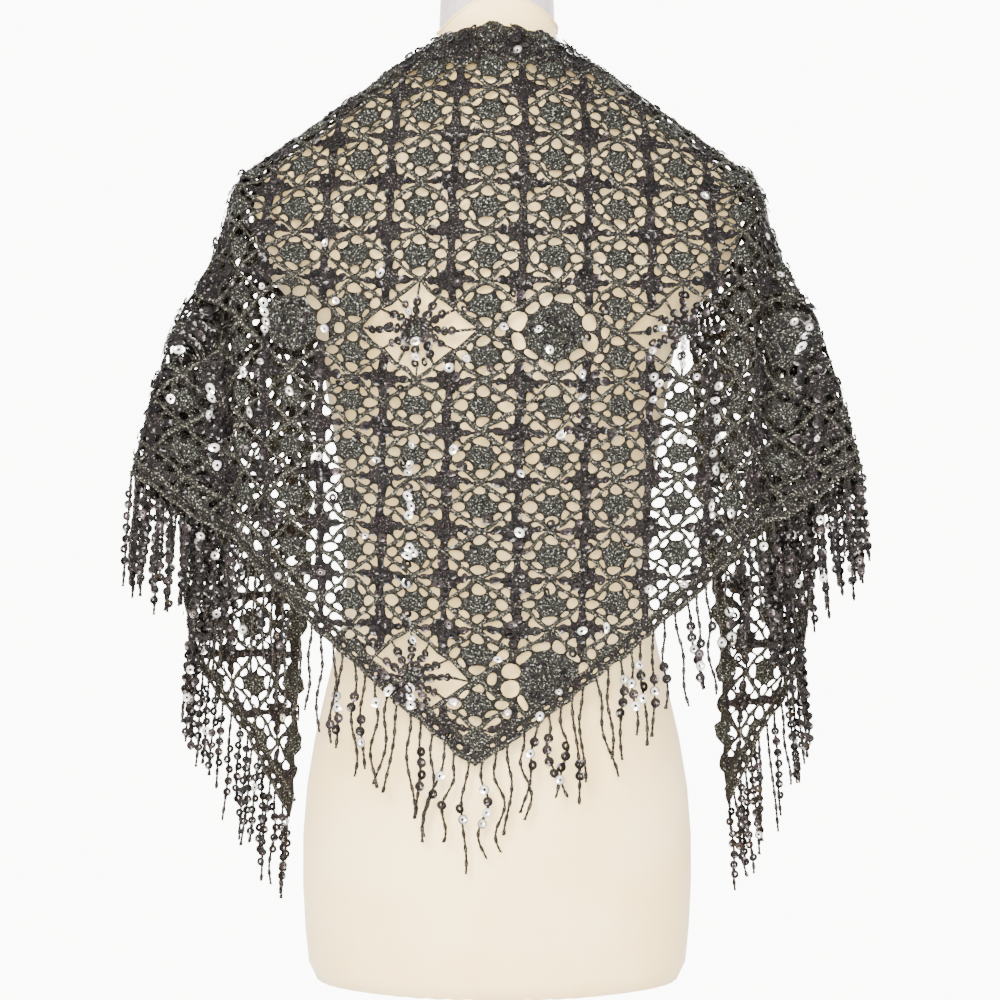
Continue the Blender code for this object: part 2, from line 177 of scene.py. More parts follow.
# %% Drape the flat cloth
def drape(along, below):
    """The worn place of flat points, as an array of x, y and z."""
    turned = along * math.cos(TWIST) - below * math.sin(TWIST) + SHIFT
    below = below * math.cos(TWIST) + along * math.sin(TWIST)
    side = np.hypot(turned, CENTRE_ROUNDING)
    slope_cos = math.cos(RIDGE_SLOPE)
    slope_sin = math.sin(RIDGE_SLOPE)
    on_ridge = (side - NECK_FLAT) * slope_cos + below * slope_sin
    off_ridge = below * slope_cos - (side - NECK_FLAT) * slope_sin
    past_tip = np.maximum(on_ridge - RIDGE_LENGTH, 0.0)
    on_ridge = np.minimum(on_ridge, RIDGE_LENGTH)
    radius = np.hypot(past_tip, off_ridge) + 1e-9
    angle = np.arctan2(past_tip, off_ridge)

    share = np.clip((angle - FAN_START) / (FAN_END - FAN_START), 0.0, 1.0)
    back = -BACK_REACH * (1 - np.exp(-radius / BACK_REACH))
    back = back * np.cos(ANGLE_EASING * np.minimum(angle, FAN_START))
    front = FRONT_REACH * (1 - np.exp(-radius / FRONT_REACH))
    front = front * np.cos(ANGLE_EASING * (math.pi - np.maximum(angle, FAN_END)))
    fan_arc = radius * (FAN_END - FAN_START)
    steep = np.interp(-(front - back) / fan_arc, -FORWARDS[:, -1], STEEPNESS)
    steep = steep * np.clip((radius - FLUTE_FREE_RADIUS) / FLUTE_GROWTH, 0.0, 1.0)
    fade = np.clip((radius - FLUTE_FADE_START) / FLUTE_FADE_LENGTH, 0.0, 1.0)
    steep = steep * (1 - FLUTE_FADE * fade)
    whole = read_table(FORWARDS, steep, np.ones_like(share))
    fore = back + (front - back) * read_table(FORWARDS, steep, share) / whole

    reach = np.where(fore < 0, BACK_REACH, FRONT_REACH)
    lean = np.clip(np.abs(fore) / (reach * (1 - np.exp(-radius / reach))), 0.0, 1.0)
    upright = np.sqrt(1 - lean**2 * np.exp(-2 * radius / reach))
    level = np.sqrt(1 - lean**2)
    length = radius + reach * (np.log((1 + upright) / (1 + level)) - (upright - level))
    flare = np.full_like(angle, RIDGE_SLOPE + FAN_FLARE)
    swing = soft_minimum([angle, flare, FRONT_SWING * (math.pi - angle)]) - RIDGE_SLOPE
    out = length * np.sin(swing) + fan_arc * read_table(OUTWARDS, steep, share)
    down = np.sqrt(np.maximum(length**2 - out**2, 0.0))

    rounding = np.sin(angle) * TIP_ROUNDING * (1 - np.exp(-radius / TIP_ROUNDING))
    x = NECK_X + on_ridge * slope_cos + out + rounding * (slope_cos - np.sin(swing))
    z = NECK_Z - on_ridge * slope_sin - down + rounding * (np.cos(swing) - slope_sin)
    return np.stack([x * turned / side, RIDGE_Y + fore, z], axis=-1)


# %% [markdown]
# A worn knit is nowhere quite in line, so a few long waves pull it out of true by up to 2 mm.
# What stands up from the cloth is moved out along its normal, taken from the drape close by.

# %% Wear the flat cloth
def pulled(along, below):
    """Flat points as the knit really lies: pulled out of line by a few waves across it."""
    moved = [along, below]
    for size, turns_along, turns_below, phase in PULLS:
        wave = 2 * math.pi * (turns_along * along + turns_below * below) + phase
        moved[0] = moved[0] + size * np.sin(wave)
        moved[1] = moved[1] + size * np.sin(wave * PULL_DETUNING + phase)
    return moved


def worn(flat):
    """The worn place of points given along, below and outwards from the cloth's middle."""
    flat = np.asarray(flat, dtype=float)
    step = NORMAL_REACH
    place = drape(*pulled(flat[:, 0], flat[:, 1]))
    along = drape(flat[:, 0] + step, flat[:, 1]) - drape(flat[:, 0] - step, flat[:, 1])
    below = drape(flat[:, 0], flat[:, 1] + step) - drape(flat[:, 0], flat[:, 1] - step)
    normal = np.cross(below, along)
    normal /= np.linalg.norm(normal, axis=1, keepdims=True)
    return place + normal * flat[:, 2:3]


nape = worn([[0.0, 0.0, 0.0]])[0]
point = worn([[0.0, DEPTH, 0.0]])[0]
print("nape", nape.round(3), "point", point.round(3))

# %% [markdown]
# ## Materials
#
# Each material is named for what it is. Colours are given as they look on screen and turned to
# linear light by one function. Patterns are made by nodes, which never repeat or show a seam, and
# are scaled in millimetres: the lace reads its flat cut from its UV map, and the form reads
# object coordinates.

# %% Helpers for materials
def linear(code):
    """A screen colour such as #ecdfc8 as linear red, green, blue and alpha."""
    parts = [int(code[start:start + 2], 16) / 255 for start in (1, 3, 5)]
    light = [part / 12.92 if part <= 0.04045 else ((part + 0.055) / 1.055) ** 2.4 for part in parts]
    return (*light, 1.0)


def new_material(name):
    """A material with a Principled shader, and its tree."""
    made = bpy.data.materials.new(name)
    made.use_nodes = True
    return made, made.node_tree, made.node_tree.nodes["Principled BSDF"]


def add_node(tree, kind, inputs=None, **settings):
    """Add a shader node. An input is a value, or another node's output to link from."""
    made = tree.nodes.new(kind)
    for key, value in settings.items():
        setattr(made, key, value)
    for key, value in (inputs or {}).items():
        if isinstance(value, bpy.types.NodeSocket):
            tree.links.new(value, made.inputs[key])
        else:
            made.inputs[key].default_value = value
    return made


def add_ramp(tree, factor, stops):
    """A colour ramp through (position, colour code) stops."""
    ramp = add_node(tree, "ShaderNodeValToRGB", {"Fac": factor})
    elements = ramp.color_ramp.elements
    while len(elements) < len(stops):
        elements.new(0.5)
    for element, (position, code) in zip(elements, stops):
        element.position = position
        element.color = linear(code)
    return ramp.outputs["Color"]


def set_inputs(shader, values):
    """Set a shader's plain values by name."""
    for key, value in values.items():
        shader.inputs[key].default_value = value


def millimetres(tree, source):
    """Coordinates in millimetres from the UV map or from the object."""
    place = add_node(tree, "ShaderNodeTexCoord").outputs[source]
    scaled = add_node(tree, "ShaderNodeVectorMath", {0: place, "Scale": 1000.0}, operation="SCALE")
    return scaled.outputs["Vector"]


def calculate(tree, operation, *values):
    """The result of a sum on values or outputs."""
    made = add_node(tree, "ShaderNodeMath", dict(enumerate(values)), operation=operation)
    return made.outputs["Value"]


def noise(tree, place, scale, detail, roughness=0.5):
    """A cloudy noise, its scale in features per millimetre."""
    inputs = {"Vector": place, "Scale": scale, "Detail": detail, "Roughness": roughness}
    return add_node(tree, "ShaderNodeTexNoise", inputs).outputs["Fac"]


def cells(tree, place, scale, randomness):
    """The distance to the nearest of scattered points."""
    inputs = {"Vector": place, "Scale": scale, "Randomness": randomness}
    return add_node(tree, "ShaderNodeTexVoronoi", inputs).outputs["Distance"]


def ranged(tree, value, low, high, least, most):
    """A value mapped from low and high to least and most, and held at the ends."""
    inputs = {"Value": value, "From Min": low, "From Max": high, "To Min": least, "To Max": most}
    return add_node(tree, "ShaderNodeMapRange", inputs).outputs["Result"]


def set_bump(tree, shader, height, strength, distance):
    """Bump the shader's normal by a height, over a distance in metres."""
    bump = add_node(
        tree, "ShaderNodeBump", {"Height": height, "Strength": strength, "Distance": distance}
    )
    tree.links.new(bump.outputs["Normal"], shader.inputs["Normal"])


print("a mid grey in linear light", round(linear("#808080")[0], 3))

# %% [markdown]
# The lace is knitted from lurex: black and olive-grey yarn with a flat metal thread in it. Close
# to, it is a speckle of dark loops and silver glints little more than a millimetre apart. Along
# the chains and in the leaf flowers a dull plum yarn comes and goes. Modelling each loop would
# take millions of faces, so cells and noise of a loop's size draw them.

# %% Lurex yarns
# A loop is 1.25 mm wide, a glint 1.6 mm and a patch of plum about 22 mm.
LOOPS_PER_MM = 0.80
GLINTS_PER_MM = 0.62
PATCHES_PER_MM = 0.045
# How far from a rosette the plum comes in, from none to all of it, in millimetres.
CHAIN_FADE = (17.0, 24.0)
EVERYWHERE = (-1.0, 0.0)


def lurex(name, plum_share, fade, stops):
    """Speckled lurex knit with patches of plum, which fade in with the distance from a rosette."""
    made, tree, shader = new_material(name)
    place = millimetres(tree, "UV")
    loops = cells(tree, place, LOOPS_PER_MM, 0.75)
    glints = noise(tree, place, GLINTS_PER_MM, 2.0, 0.75)
    mixed = calculate(tree, "MULTIPLY_ADD", loops, -0.25, glints)
    colour = add_ramp(tree, mixed, stops)
    across = add_node(tree, "ShaderNodeSeparateXYZ", {"Vector": place}).outputs["X"]
    from_rosette = calculate(tree, "PINGPONG", across, REPEAT_WIDTH / 2 / MM)
    patches = ranged(tree, noise(tree, place, PATCHES_PER_MM, 1.0), 0.42, 0.56, 0.25, 1.0)
    share = calculate(tree, "MULTIPLY", ranged(tree, from_rosette, *fade, 0.0, plum_share), patches)
    plum = add_node(
        tree, "ShaderNodeMix", {"Factor": share, "A": colour, "B": linear("#a58c99")},
        data_type="RGBA", blend_type="MULTIPLY",
    )
    tree.links.new(plum.outputs["Result"], shader.inputs["Base Color"])
    tree.links.new(ranged(tree, mixed, 0.47, 0.6, 0.0, 0.7), shader.inputs["Metallic"])
    set_inputs(shader, {"Roughness": 0.5, "Specular IOR Level": 0.12})
    set_bump(tree, shader, loops, 0.8, 0.0009)
    return made


YARNS = (
    ("lurex_lace_yarn", 0.45, CHAIN_FADE,
     ((0.32, "#0c0c0b"), (0.43, "#292923"), (0.51, "#6d6b62"), (0.59, "#cfccc2"))),
    ("silver_lurex_yarn", 0.4, CHAIN_FADE,
     ((0.32, "#090a09"), (0.43, "#21221f"), (0.51, "#5c5e58"), (0.59, "#c8cac1"))),
    ("plum_chenille_yarn", 0.9, EVERYWHERE,
     ((0.34, "#060606"), (0.44, "#191717"), (0.51, "#464142"), (0.59, "#b0aaa9"))),
    ("dark_lurex_yarn", 0.9, CHAIN_FADE,
     ((0.34, "#060605"), (0.45, "#181714"), (0.53, "#46433d"), (0.61, "#a5a198"))),
)
*stitch_yarns, net_yarn = [lurex(*yarn) for yarn in YARNS]
print("lace yarns", [yarn.name for yarn in (*stitch_yarns, net_yarn)])

# %% [markdown]
# Sequins are cupped discs of metallised film, 6 to 8 mm across with a hole. No two lie at quite the
# same angle, and most are gunmetal, with some pearl ones among them. Each disc keeps its tone as
# an attribute, with a painted highlight near its hole and painted shade at its rim, and one material
# turns that to a colour, which is simpler than one for each shade.

# %% Film of the sequins
def sequin_film():
    """Metallised film, its colour by the tone of each sequin and the painted shading across it."""
    made, tree, shader = new_material("sequin_film")
    tone = add_node(tree, "ShaderNodeAttribute", attribute_name="tone").outputs["Fac"]
    stops = ((0.0, "#050405"), (0.45, "#141012"), (0.7, "#3a3134"), (0.8, "#858080"),
             (0.88, "#b4bfba"), (0.94, "#d2cad0"), (1.0, "#e2e4e2"))
    tree.links.new(add_ramp(tree, tone, stops), shader.inputs["Base Color"])
    set_inputs(shader, {"Metallic": 0.6, "Roughness": 0.24, "Specular IOR Level": 0.3,
                        "Coat Weight": 0.15, "Coat Roughness": 0.12})
    return made


sequin_surface = sequin_film()
print("sequins", sequin_surface.name)

# %% [markdown]
# The thread of the fringe is dark, with a silver strand twisted in. Its twist is modelled, and the
# silver, which shows only as short glints, is left to a fine noise.

# %% Thread of the fringe
THREAD_GLINTS_PER_MM = 0.9


def twisted_thread():
    """Dark thread twisted with a silver strand."""
    made, tree, shader = new_material("twisted_lurex_thread")
    fibres = noise(tree, millimetres(tree, "Object"), THREAD_GLINTS_PER_MM, 2.0, 0.7)
    stops = ((0.45, "#070606"), (0.55, "#161414"), (0.63, "#625e59"))
    tree.links.new(add_ramp(tree, fibres, stops), shader.inputs["Base Color"])
    set_inputs(shader, {"Metallic": 0.25, "Roughness": 0.5, "Specular IOR Level": 0.15})
    set_bump(tree, shader, fibres, 0.6, 0.0004)
    return made


thread_surface = twisted_thread()
print("fringe", thread_surface.name)

# %% [markdown]
# The form is padded and covered in cream jersey, a fine even knit with a soft sheen. Its neck is
# pale grey plastic, and the stand is steel with a thin coat of paint. All three are plain, and a
# weak noise in colour and bump keeps them from looking too even.

# %% Jersey, plastic and paint
# A stitch of the jersey is 1.1 mm wide, and its shade changes over about 80 mm.
JERSEY_LOOPS_PER_MM = 0.9
JERSEY_SHADES_PER_MM = 0.012


def cream_jersey():
    """Fine knit with faint courses, slightly uneven in colour."""
    made, tree, shader = new_material("cream_cotton_jersey")
    place = millimetres(tree, "Object")
    stops = ((0.35, "#eed191"), (0.65, "#f4dba5"))
    shades = noise(tree, place, JERSEY_SHADES_PER_MM, 3.0)
    tree.links.new(add_ramp(tree, shades, stops), shader.inputs["Base Color"])
    stretched = add_node(
        tree, "ShaderNodeVectorMath", {0: place, 1: (1.0, 1.0, 1.6)}, operation="MULTIPLY"
    )
    set_inputs(shader, {"Roughness": 0.85, "Sheen Weight": 0.25})
    stitches = cells(tree, stretched.outputs["Vector"], JERSEY_LOOPS_PER_MM, 0.3)
    set_bump(tree, shader, stitches, 0.25, 0.0003)
    return made


def moulded(name, low, high, roughness, grain, depth):
    """A smooth hard surface with a slight grain, grain in features per millimetre."""
    made, tree, shader = new_material(name)
    grains = noise(tree, millimetres(tree, "Object"), grain, 2.0)
    ramp = add_ramp(tree, grains, ((0.3, low), (0.7, high)))
    tree.links.new(ramp, shader.inputs["Base Color"])
    set_inputs(shader, {"Roughness": roughness})
    set_bump(tree, shader, grains, 0.2, depth)
    return made


jersey = cream_jersey()
neck_plastic = moulded("pale_grey_plastic", "#b5adb0", "#beb7b9", 0.45, 0.3, 0.0002)
stand_paint = moulded("white_painted_steel", "#d9d6d1", "#e0ddd8", 0.32, 0.5, 0.0001)
print("form materials", jersey.name, neck_plastic.name, stand_paint.name)


# %% [markdown]
# ## Making pieces
#
# Small things that repeat are modelled once, as a template. They could be thousands of objects,
# but copying a template through arrays into one mesh is far quicker. The lace and all that is
# sewn to it is laid out flat first, and its flat place is kept as the UV map.

# %% Copy and join templates
def take_arrays(shape):
    """The points, faces and face kinds of a shape, which is then done with."""
    shape.verts.index_update()
    points = np.array([vertex.co[:] for vertex in shape.verts])
    faces = [[vertex.index for vertex in face.verts] for face in shape.faces]
    kinds = [face.material_index for face in shape.faces]
    shape.free()
    return points, faces, kinds


def copies(template, places):
    """Copies of a template at each place, a 4 by 4 matrix, joined."""
    points, faces, kinds = template
    matrices = np.array(places)
    turned = np.einsum("kij,nj->kni", matrices[:, :3, :3], points) + matrices[:, None, :3, 3]
    joined_faces = []
    for number in range(len(places)):
        first = number * len(points)
        joined_faces += [[first + index for index in face] for face in faces]
    return turned.reshape(-1, 3), joined_faces, kinds * len(places)


def joined(parts):
    """Several sets of arrays as one."""
    points = np.vstack([part[0] for part in parts])
    faces = []
    kinds = []
    first = 0
    for part_points, part_faces, part_kinds in parts:
        faces += [[first + index for index in face] for face in part_faces]
        kinds += part_kinds
        first += len(part_points)
    return points, faces, kinds


# %% Make a piece
def as_mesh(name, arrays):
    """A mesh from arrays."""
    points, faces, kinds = arrays
    mesh = bpy.data.meshes.new(name)
    mesh.from_pydata(points.tolist(), [], faces)
    mesh.polygons.foreach_set("material_index", kinds)
    return mesh


def new_object(name, data):
    """An object in the scene for a mesh, a camera or a lamp."""
    made = bpy.data.objects.new(name, data)
    bpy.context.scene.collection.objects.link(made)
    return made


def make_piece(name, arrays, surfaces, flat=None, tone=None):
    """A smooth piece from arrays, riding on the root body."""
    mesh = as_mesh(name, arrays)
    if flat is not None:
        corners = np.zeros(len(mesh.loops), dtype=int)
        mesh.loops.foreach_get("vertex_index", corners)
        layer = mesh.uv_layers.new(name="flat_cut")
        layer.data.foreach_set("uv", flat[corners, :2].ravel())
    if tone is not None:
        mesh.attributes.new("tone", "FLOAT", "POINT").data.foreach_set("value", tone)
    mesh.shade_smooth()
    for surface in surfaces:
        mesh.materials.append(surface)
    piece = new_object(name, mesh)
    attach(piece, "root")
    print(f"{name}: {len(mesh.polygons)} faces")
    return piece


def matrix_at(place, turn=0.0):
    """A flat placement: moved, and turned about the cloth's normal."""
    return np.array(Matrix.Translation((*place, 0.0)) @ Matrix.Rotation(turn, 4, "Z"))


def standing(template, places):
    """Copies of a template at flat places."""
    return copies(template, [matrix_at(place) for place in places])


# %% [markdown]
# ## The net of the lace
#
# One repeat of the lace is a rosette in a ring of eight holes, inside a diamond of thread, with
# two holes beyond each side of the diamond: one beside a leaf, one beside the chain. A
# transparent material could draw the holes, but their rims would catch no light. So their
# outlines are drawn in millimetres for one quarter of the repeat, the net between them is filled
# in, and the repeat is copied over the whole triangle. Over the arms the knit is gathered and its
# holes draw in.

# %% Outlines of the holes
ABOVE = ((-5.7, 12.0), (-3.8, 14.8), (0.0, 17.3), (3.8, 14.8), (5.7, 12.0), (4.2, 9.2), (0.0, 8.2),
         (-4.2, 9.2))
BESIDE = ((10.9, 0.0), (12.3, 3.2), (15.6, 4.7), (18.5, 3.7), (20.8, 1.9), (21.7, 0.0),
          (20.8, -1.9), (18.5, -3.7), (15.6, -4.7), (12.3, -3.2))
DIAGONAL = ((7.8, 6.1), (9.9, 4.2), (12.7, 4.8), (13.9, 6.5), (11.6, 8.8), (8.8, 10.9), (6.8, 10.8),
            (6.2, 8.9))
LEAF_SIDE = ((3.4, 18.9), (6.0, 16.7), (9.4, 14.0), (13.0, 11.1), (14.8, 11.7), (16.6, 13.8),
             (16.4, 16.4), (14.0, 17.5), (10.5, 18.1), (6.6, 19.0))
CHAIN_SIDE = ((14.7, 9.8), (17.6, 7.5), (21.3, 4.4), (22.2, 5.6), (22.2, 10.0), (21.0, 12.9),
              (18.6, 13.2), (16.4, 11.4))
BOTH_WAYS = ((1, 1), (-1, 1), (1, -1), (-1, -1))
HOLES = (
    (ABOVE, ((1, 1), (1, -1))),
    (BESIDE, ((1, 1), (-1, 1))),
    (DIAGONAL, BOTH_WAYS),
    (LEAF_SIDE, BOTH_WAYS),
    (CHAIN_SIDE, BOTH_WAYS),
)
OPEN_SHARES = {"back": 0.90, "side": 0.70, "tail": 0.98}
print("holes in a repeat:", sum(len(ways) for _, ways in HOLES))

# %% Draw outlines
CORNER_CUT = 0.25
OVAL_POWER = 0.8


def rounded(points):
    """An outline with each corner cut once."""
    corners = np.array(points, dtype=float)
    follow = np.roll(corners, -1, axis=0)
    near = corners * (1 - CORNER_CUT) + follow * CORNER_CUT
    far = corners * CORNER_CUT + follow * (1 - CORNER_CUT)
    return np.stack([near, far], 1).reshape(-1, 2)


def oval(x, y, half_width, half_height, turn, sides):
    """The points of an oval, fuller than an ellipse, turned by degrees."""
    angles = 2 * math.pi * (np.arange(sides) + 0.5) / sides
    across = half_width * np.sign(np.cos(angles)) * np.abs(np.cos(angles)) ** OVAL_POWER
    upwards = half_height * np.sign(np.sin(angles)) * np.abs(np.sin(angles)) ** OVAL_POWER
    cosine = math.cos(math.radians(turn))
    sine = math.sin(math.radians(turn))
    xs = x + across * cosine - upwards * sine
    ys = y + across * sine + upwards * cosine
    return np.stack([xs, ys], axis=-1)


def mirrored_holes(share):
    """The holes of one repeat, in every quarter where they stand, drawn in to a share of their size."""
    made = []
    for outline, ways in HOLES:
        loop = rounded(outline)
        middle = loop.mean(axis=0)
        loop = middle + (loop - middle) * share
        made += [loop * np.array(way) for way in ways]
    return made


def polyline(corners, counts):
    """A closed outline through corners, each side cut into a count of equal steps."""
    parts = []
    for start, end, count in zip(corners, corners[1:] + corners[:1], counts):
        share = np.arange(count)[:, None] / count
        parts.append(np.array(start) * (1 - share) + np.array(end) * share)
    return np.vstack(parts)


# %% Fill one repeat with net
LONGEST_NET_EDGE = 6.0


def net_patch(outline, holes, hole_kind=1):
    """A flat patch of net in an outline, in millimetres. Its holes are faces of their own kind."""
    shape = bmesh.new()
    rings = []
    for loop in [outline] + holes:
        ring = bmesh.ops.create_circle(shape, segments=len(loop), radius=1.0)["verts"]
        for vertex, (x, y) in zip(ring, loop):
            vertex.co = (x, y, 0.0)
        rings.append(ring)
    bmesh.ops.triangle_fill(
        shape, use_beauty=True, use_dissolve=False, edges=shape.edges[:], normal=(0, 0, 1)
    )
    for ring in rings[1:]:
        made = bmesh.ops.contextual_create(shape, geom=ring)["faces"]
        made[0].material_index = hole_kind
    for _ in range(2):
        inner = [edge for edge in shape.edges if edge.calc_length() > LONGEST_NET_EDGE
                 and len(edge.link_faces) == 2
                 and not any(face.material_index for face in edge.link_faces)]
        bmesh.ops.subdivide_edges(shape, edges=inner, cuts=1)
        net = [face for face in shape.faces if not face.material_index]
        bmesh.ops.triangulate(shape, faces=net)
    bmesh.ops.recalc_face_normals(shape, faces=shape.faces[:])
    bmesh.ops.scale(shape, verts=shape.verts[:], vec=(MM, MM, MM))
    return take_arrays(shape)


half_repeat = (REPEAT_WIDTH / MM / 2, REPEAT_DEPTH / MM / 2)
repeat_corners = [
    (half_repeat[0] * x, half_repeat[1] * y) for x, y in ((-1, -1), (1, -1), (1, 1), (-1, 1))
]
repeat_outline = polyline(repeat_corners, (12, 10, 12, 10))
NETS = {
    ending: net_patch(repeat_outline, mirrored_holes(share)) for ending, share in OPEN_SHARES.items()
}
print("one repeat of net:", len(NETS["back"][1]), "faces")

# %% [markdown]
# Every second column of the lace carries a large motif, in diamonds twice as wide and high as
# the small ones. They alternate: a solid textured round inside a ring of big holes, and a daisy
# whose petals are rows of sequins across open air. Both are made as patches that take the place
# of the net in their diamond, so their rims meet the small repeats without a step.

# %% Holes of a large motif
SPOKES = 12
SPOKE_WIDTH = 1.8
WEDGE_SPREAD = 0.8
ROUND_RIM = 23.0
ROUND_REACH = 34.0
DAISY_RIM = 7.0
DAISY_REACH = 42.0
DIAMOND_MARGIN = 2.6


def diamond_reach(angle, limit):
    """How far the diamond's edge lies from its middle, in millimetres, less a margin."""
    width = REPEAT_WIDTH / MM
    depth = REPEAT_DEPTH / MM
    edge = 1.0 / (abs(math.cos(angle)) / width + abs(math.sin(angle)) / depth)
    return min(edge - DIAMOND_MARGIN, limit)


def wedge(angle, inner):
    """A hole between two spokes, from an inner radius to the diamond's edge."""
    half_step = math.pi / SPOKES
    along = np.array((math.cos(angle), math.sin(angle)))
    across = np.array((-math.sin(angle), math.cos(angle)))
    points = []
    for side, share in ((-1, 0.0), (-1, 0.5), (-1, 1.0), (0, 1.0), (1, 1.0), (1, 0.5), (1, 0.0)):
        outer = diamond_reach(angle + side * half_step * WEDGE_SPREAD, DAISY_REACH)
        radius = inner + (outer - inner) * share
        points.append(radius * along + side * (radius * math.tan(half_step) - SPOKE_WIDTH / 2) * across)
    return np.array(points)


def ring_hole(angle, inner):
    """A big oval hole in the ring round a solid motif."""
    outer = diamond_reach(angle, ROUND_REACH)
    middle = (inner + outer) / 2
    half_across = middle * math.tan(math.pi / SPOKES) - SPOKE_WIDTH / 2
    x = middle * math.cos(angle)
    y = middle * math.sin(angle)
    return oval(x, y, (outer - inner) / 2, half_across, math.degrees(angle), 12)


# %% Nets and places of the large motifs
LARGE_ROWS = (6.5, 13.5)
LARGE_COLUMNS = (-7, -5, -3, -1, 1, 3, 5, 7)
EDGE_MOTIFS = 1.03
ROUND_CORNER = 39.5
CORNER_HOLE = (3.2, 4.4)

spoke_angles = [2 * math.pi * (number + 0.5) / SPOKES for number in range(SPOKES)]
diamond = polyline(
    [(REPEAT_WIDTH / MM, 0.0), (0.0, REPEAT_DEPTH / MM), (-REPEAT_WIDTH / MM, 0.0),
     (0.0, -REPEAT_DEPTH / MM)], (12, 12, 12, 12),
)
round_holes = [ring_hole(angle, ROUND_RIM) for angle in spoke_angles]
round_holes += [oval(side * ROUND_CORNER, 0.0, *CORNER_HOLE, 0, 12) for side in (-1, 1)]
round_net = net_patch(diamond, round_holes)
daisy_net = net_patch(diamond, [wedge(angle, DAISY_RIM) for angle in spoke_angles])


def large_motifs():
    """The large motifs on the stole, as (x, y, is_daisy)."""
    found = [(column * REPEAT_WIDTH, row * REPEAT_DEPTH, column % 4 == 3)
             for row in LARGE_ROWS for column in LARGE_COLUMNS]
    return [(x, y, daisy) for x, y, daisy in found if abs(x) / HALF_LENGTH + y / DEPTH < EDGE_MOTIFS]


def in_diamond(x, y, motif, grow=0.0):
    """Whether a flat point lies in a large motif's diamond."""
    across = abs(x - motif[0]) / (REPEAT_WIDTH + grow)
    return across + abs(y - motif[1]) / (REPEAT_DEPTH + grow) < 1.0


MOTIFS = large_motifs()
print(len(MOTIFS), "large motifs")

# %% [markdown]
# Along the two short edges runs a border 11 mm wide with a row of eyelets, which a knitter makes
# in one with the lace to keep the edge firm. The top edge ends in scallops: the first row of
# rosettes is whole and stands above the edge, with a smaller scallop between each two.

# %% Border and scallops
BORDER = 0.011
BORDER_UNITS = 80
HEM_LENGTH = math.hypot(HALF_LENGTH, DEPTH)
EYELET_SIDES = 10
EYELET = 2
unit = HEM_LENGTH / BORDER_UNITS / MM
border_outline = polyline(
    [(-unit / 2, -BORDER / MM), (unit / 2, -BORDER / MM), (unit / 2, 0.0), (-unit / 2, 0.0)],
    (3, 3, 3, 3),
)
border_net = net_patch(border_outline, [oval(0.0, -5.9, 2.1, 1.3, 0, EYELET_SIDES)], EYELET)
print("one unit of the border:", round(unit, 2), "mm,", len(border_net[1]), "faces")

# Each kind of scallop: its place in the repeat, how far down it starts, half width, half height.
SCALLOPS = ((0.0, 0.0030, 0.0098, 0.0084), (0.5, 0.0020, 0.0080, 0.0056))


def border_places(side):
    """The placements of the border's units along one short edge, its outside upwards."""
    turn = -side * math.atan2(DEPTH, HALF_LENGTH)
    run = np.array([math.cos(turn), math.sin(turn)])
    first = np.array([0.0, DEPTH]) if side > 0 else np.array([-HALF_LENGTH, 0.0])
    steps = (np.arange(BORDER_UNITS) + 0.5) * HEM_LENGTH / BORDER_UNITS
    return [matrix_at(first + run * step, turn) for step in steps]


def hem_distance(x, y):
    """How far a flat point lies inside the nearer short edge."""
    return (HALF_LENGTH * DEPTH - abs(x) * DEPTH - y * HALF_LENGTH) / HEM_LENGTH


# %% [markdown]
# Each stretch of the stole is copied from the repeats, cut to its edges, given its thickness and
# draped. It is cut by planes, which leave a true edge where taking out whole faces would leave a
# jagged one. Near the edges the net is closed: the real lace has a firm border there, deep round
# the neck and narrow on the fronts.

# %% Lay out and cut
NOTHING = 1e-6
CUT_ROOM = 0.02


def repeats(start, end, first_row, shift=(0.0, 0.0)):
    """The middles of the repeats around a stretch, shifted by a part of a repeat."""
    columns = range(math.floor(start / REPEAT_WIDTH) - 1, math.ceil(end / REPEAT_WIDTH) + 2)
    rows = range(first_row, math.ceil(DEPTH / REPEAT_DEPTH) + 1)
    return [((column + shift[0]) * REPEAT_WIDTH, (row + shift[1]) * REPEAT_DEPTH)
            for column in columns for row in rows]


def touches(x, low, high):
    """Whether a stretch reaches to a side: x below 0 is the left one."""
    return x * low > NOTHING or x * high > NOTHING


def add_arrays(shape, arrays):
    """Add arrays to a bmesh."""
    mesh = as_mesh("scratch", arrays)
    shape.from_mesh(mesh)
    bpy.data.meshes.remove(mesh)


def cut(shape, point, normal, clear=True, faces=None):
    """Cut a shape, or some of its faces, along a line, and clear what lies beyond it."""
    faces = shape.faces[:] if faces is None else faces
    # A dictionary's keys keep their order, where a set's may change from run to run.
    geometry = dict.fromkeys(item for face in faces for item in (*face.verts, *face.edges, face))
    bmesh.ops.bisect_plane(
        shape, geom=list(geometry), plane_co=(*point, 0), plane_no=(*normal, 0),
        clear_outer=clear, dist=NOTHING,
    )


def open_diamond(shape, motif):
    """Take the net out of a large motif's diamond."""
    x, y, _ = motif
    for side in (-1, 1):
        for end in (-1, 1):
            near = [face for face in shape.faces
                    if in_diamond(*face.calc_center_median().xy, motif, CUT_ROOM)]
            normal = (side * REPEAT_DEPTH, end * REPEAT_WIDTH)
            cut(shape, (x + side * REPEAT_WIDTH, y), normal, False, near)
    inside = [face for face in shape.faces if in_diamond(*face.calc_center_median().xy, motif)]
    bmesh.ops.delete(shape, geom=inside, context="FACES")


# %% The net of one stretch
MERGE_DISTANCE = 0.00002
LAST_SCALLOP = 0.02


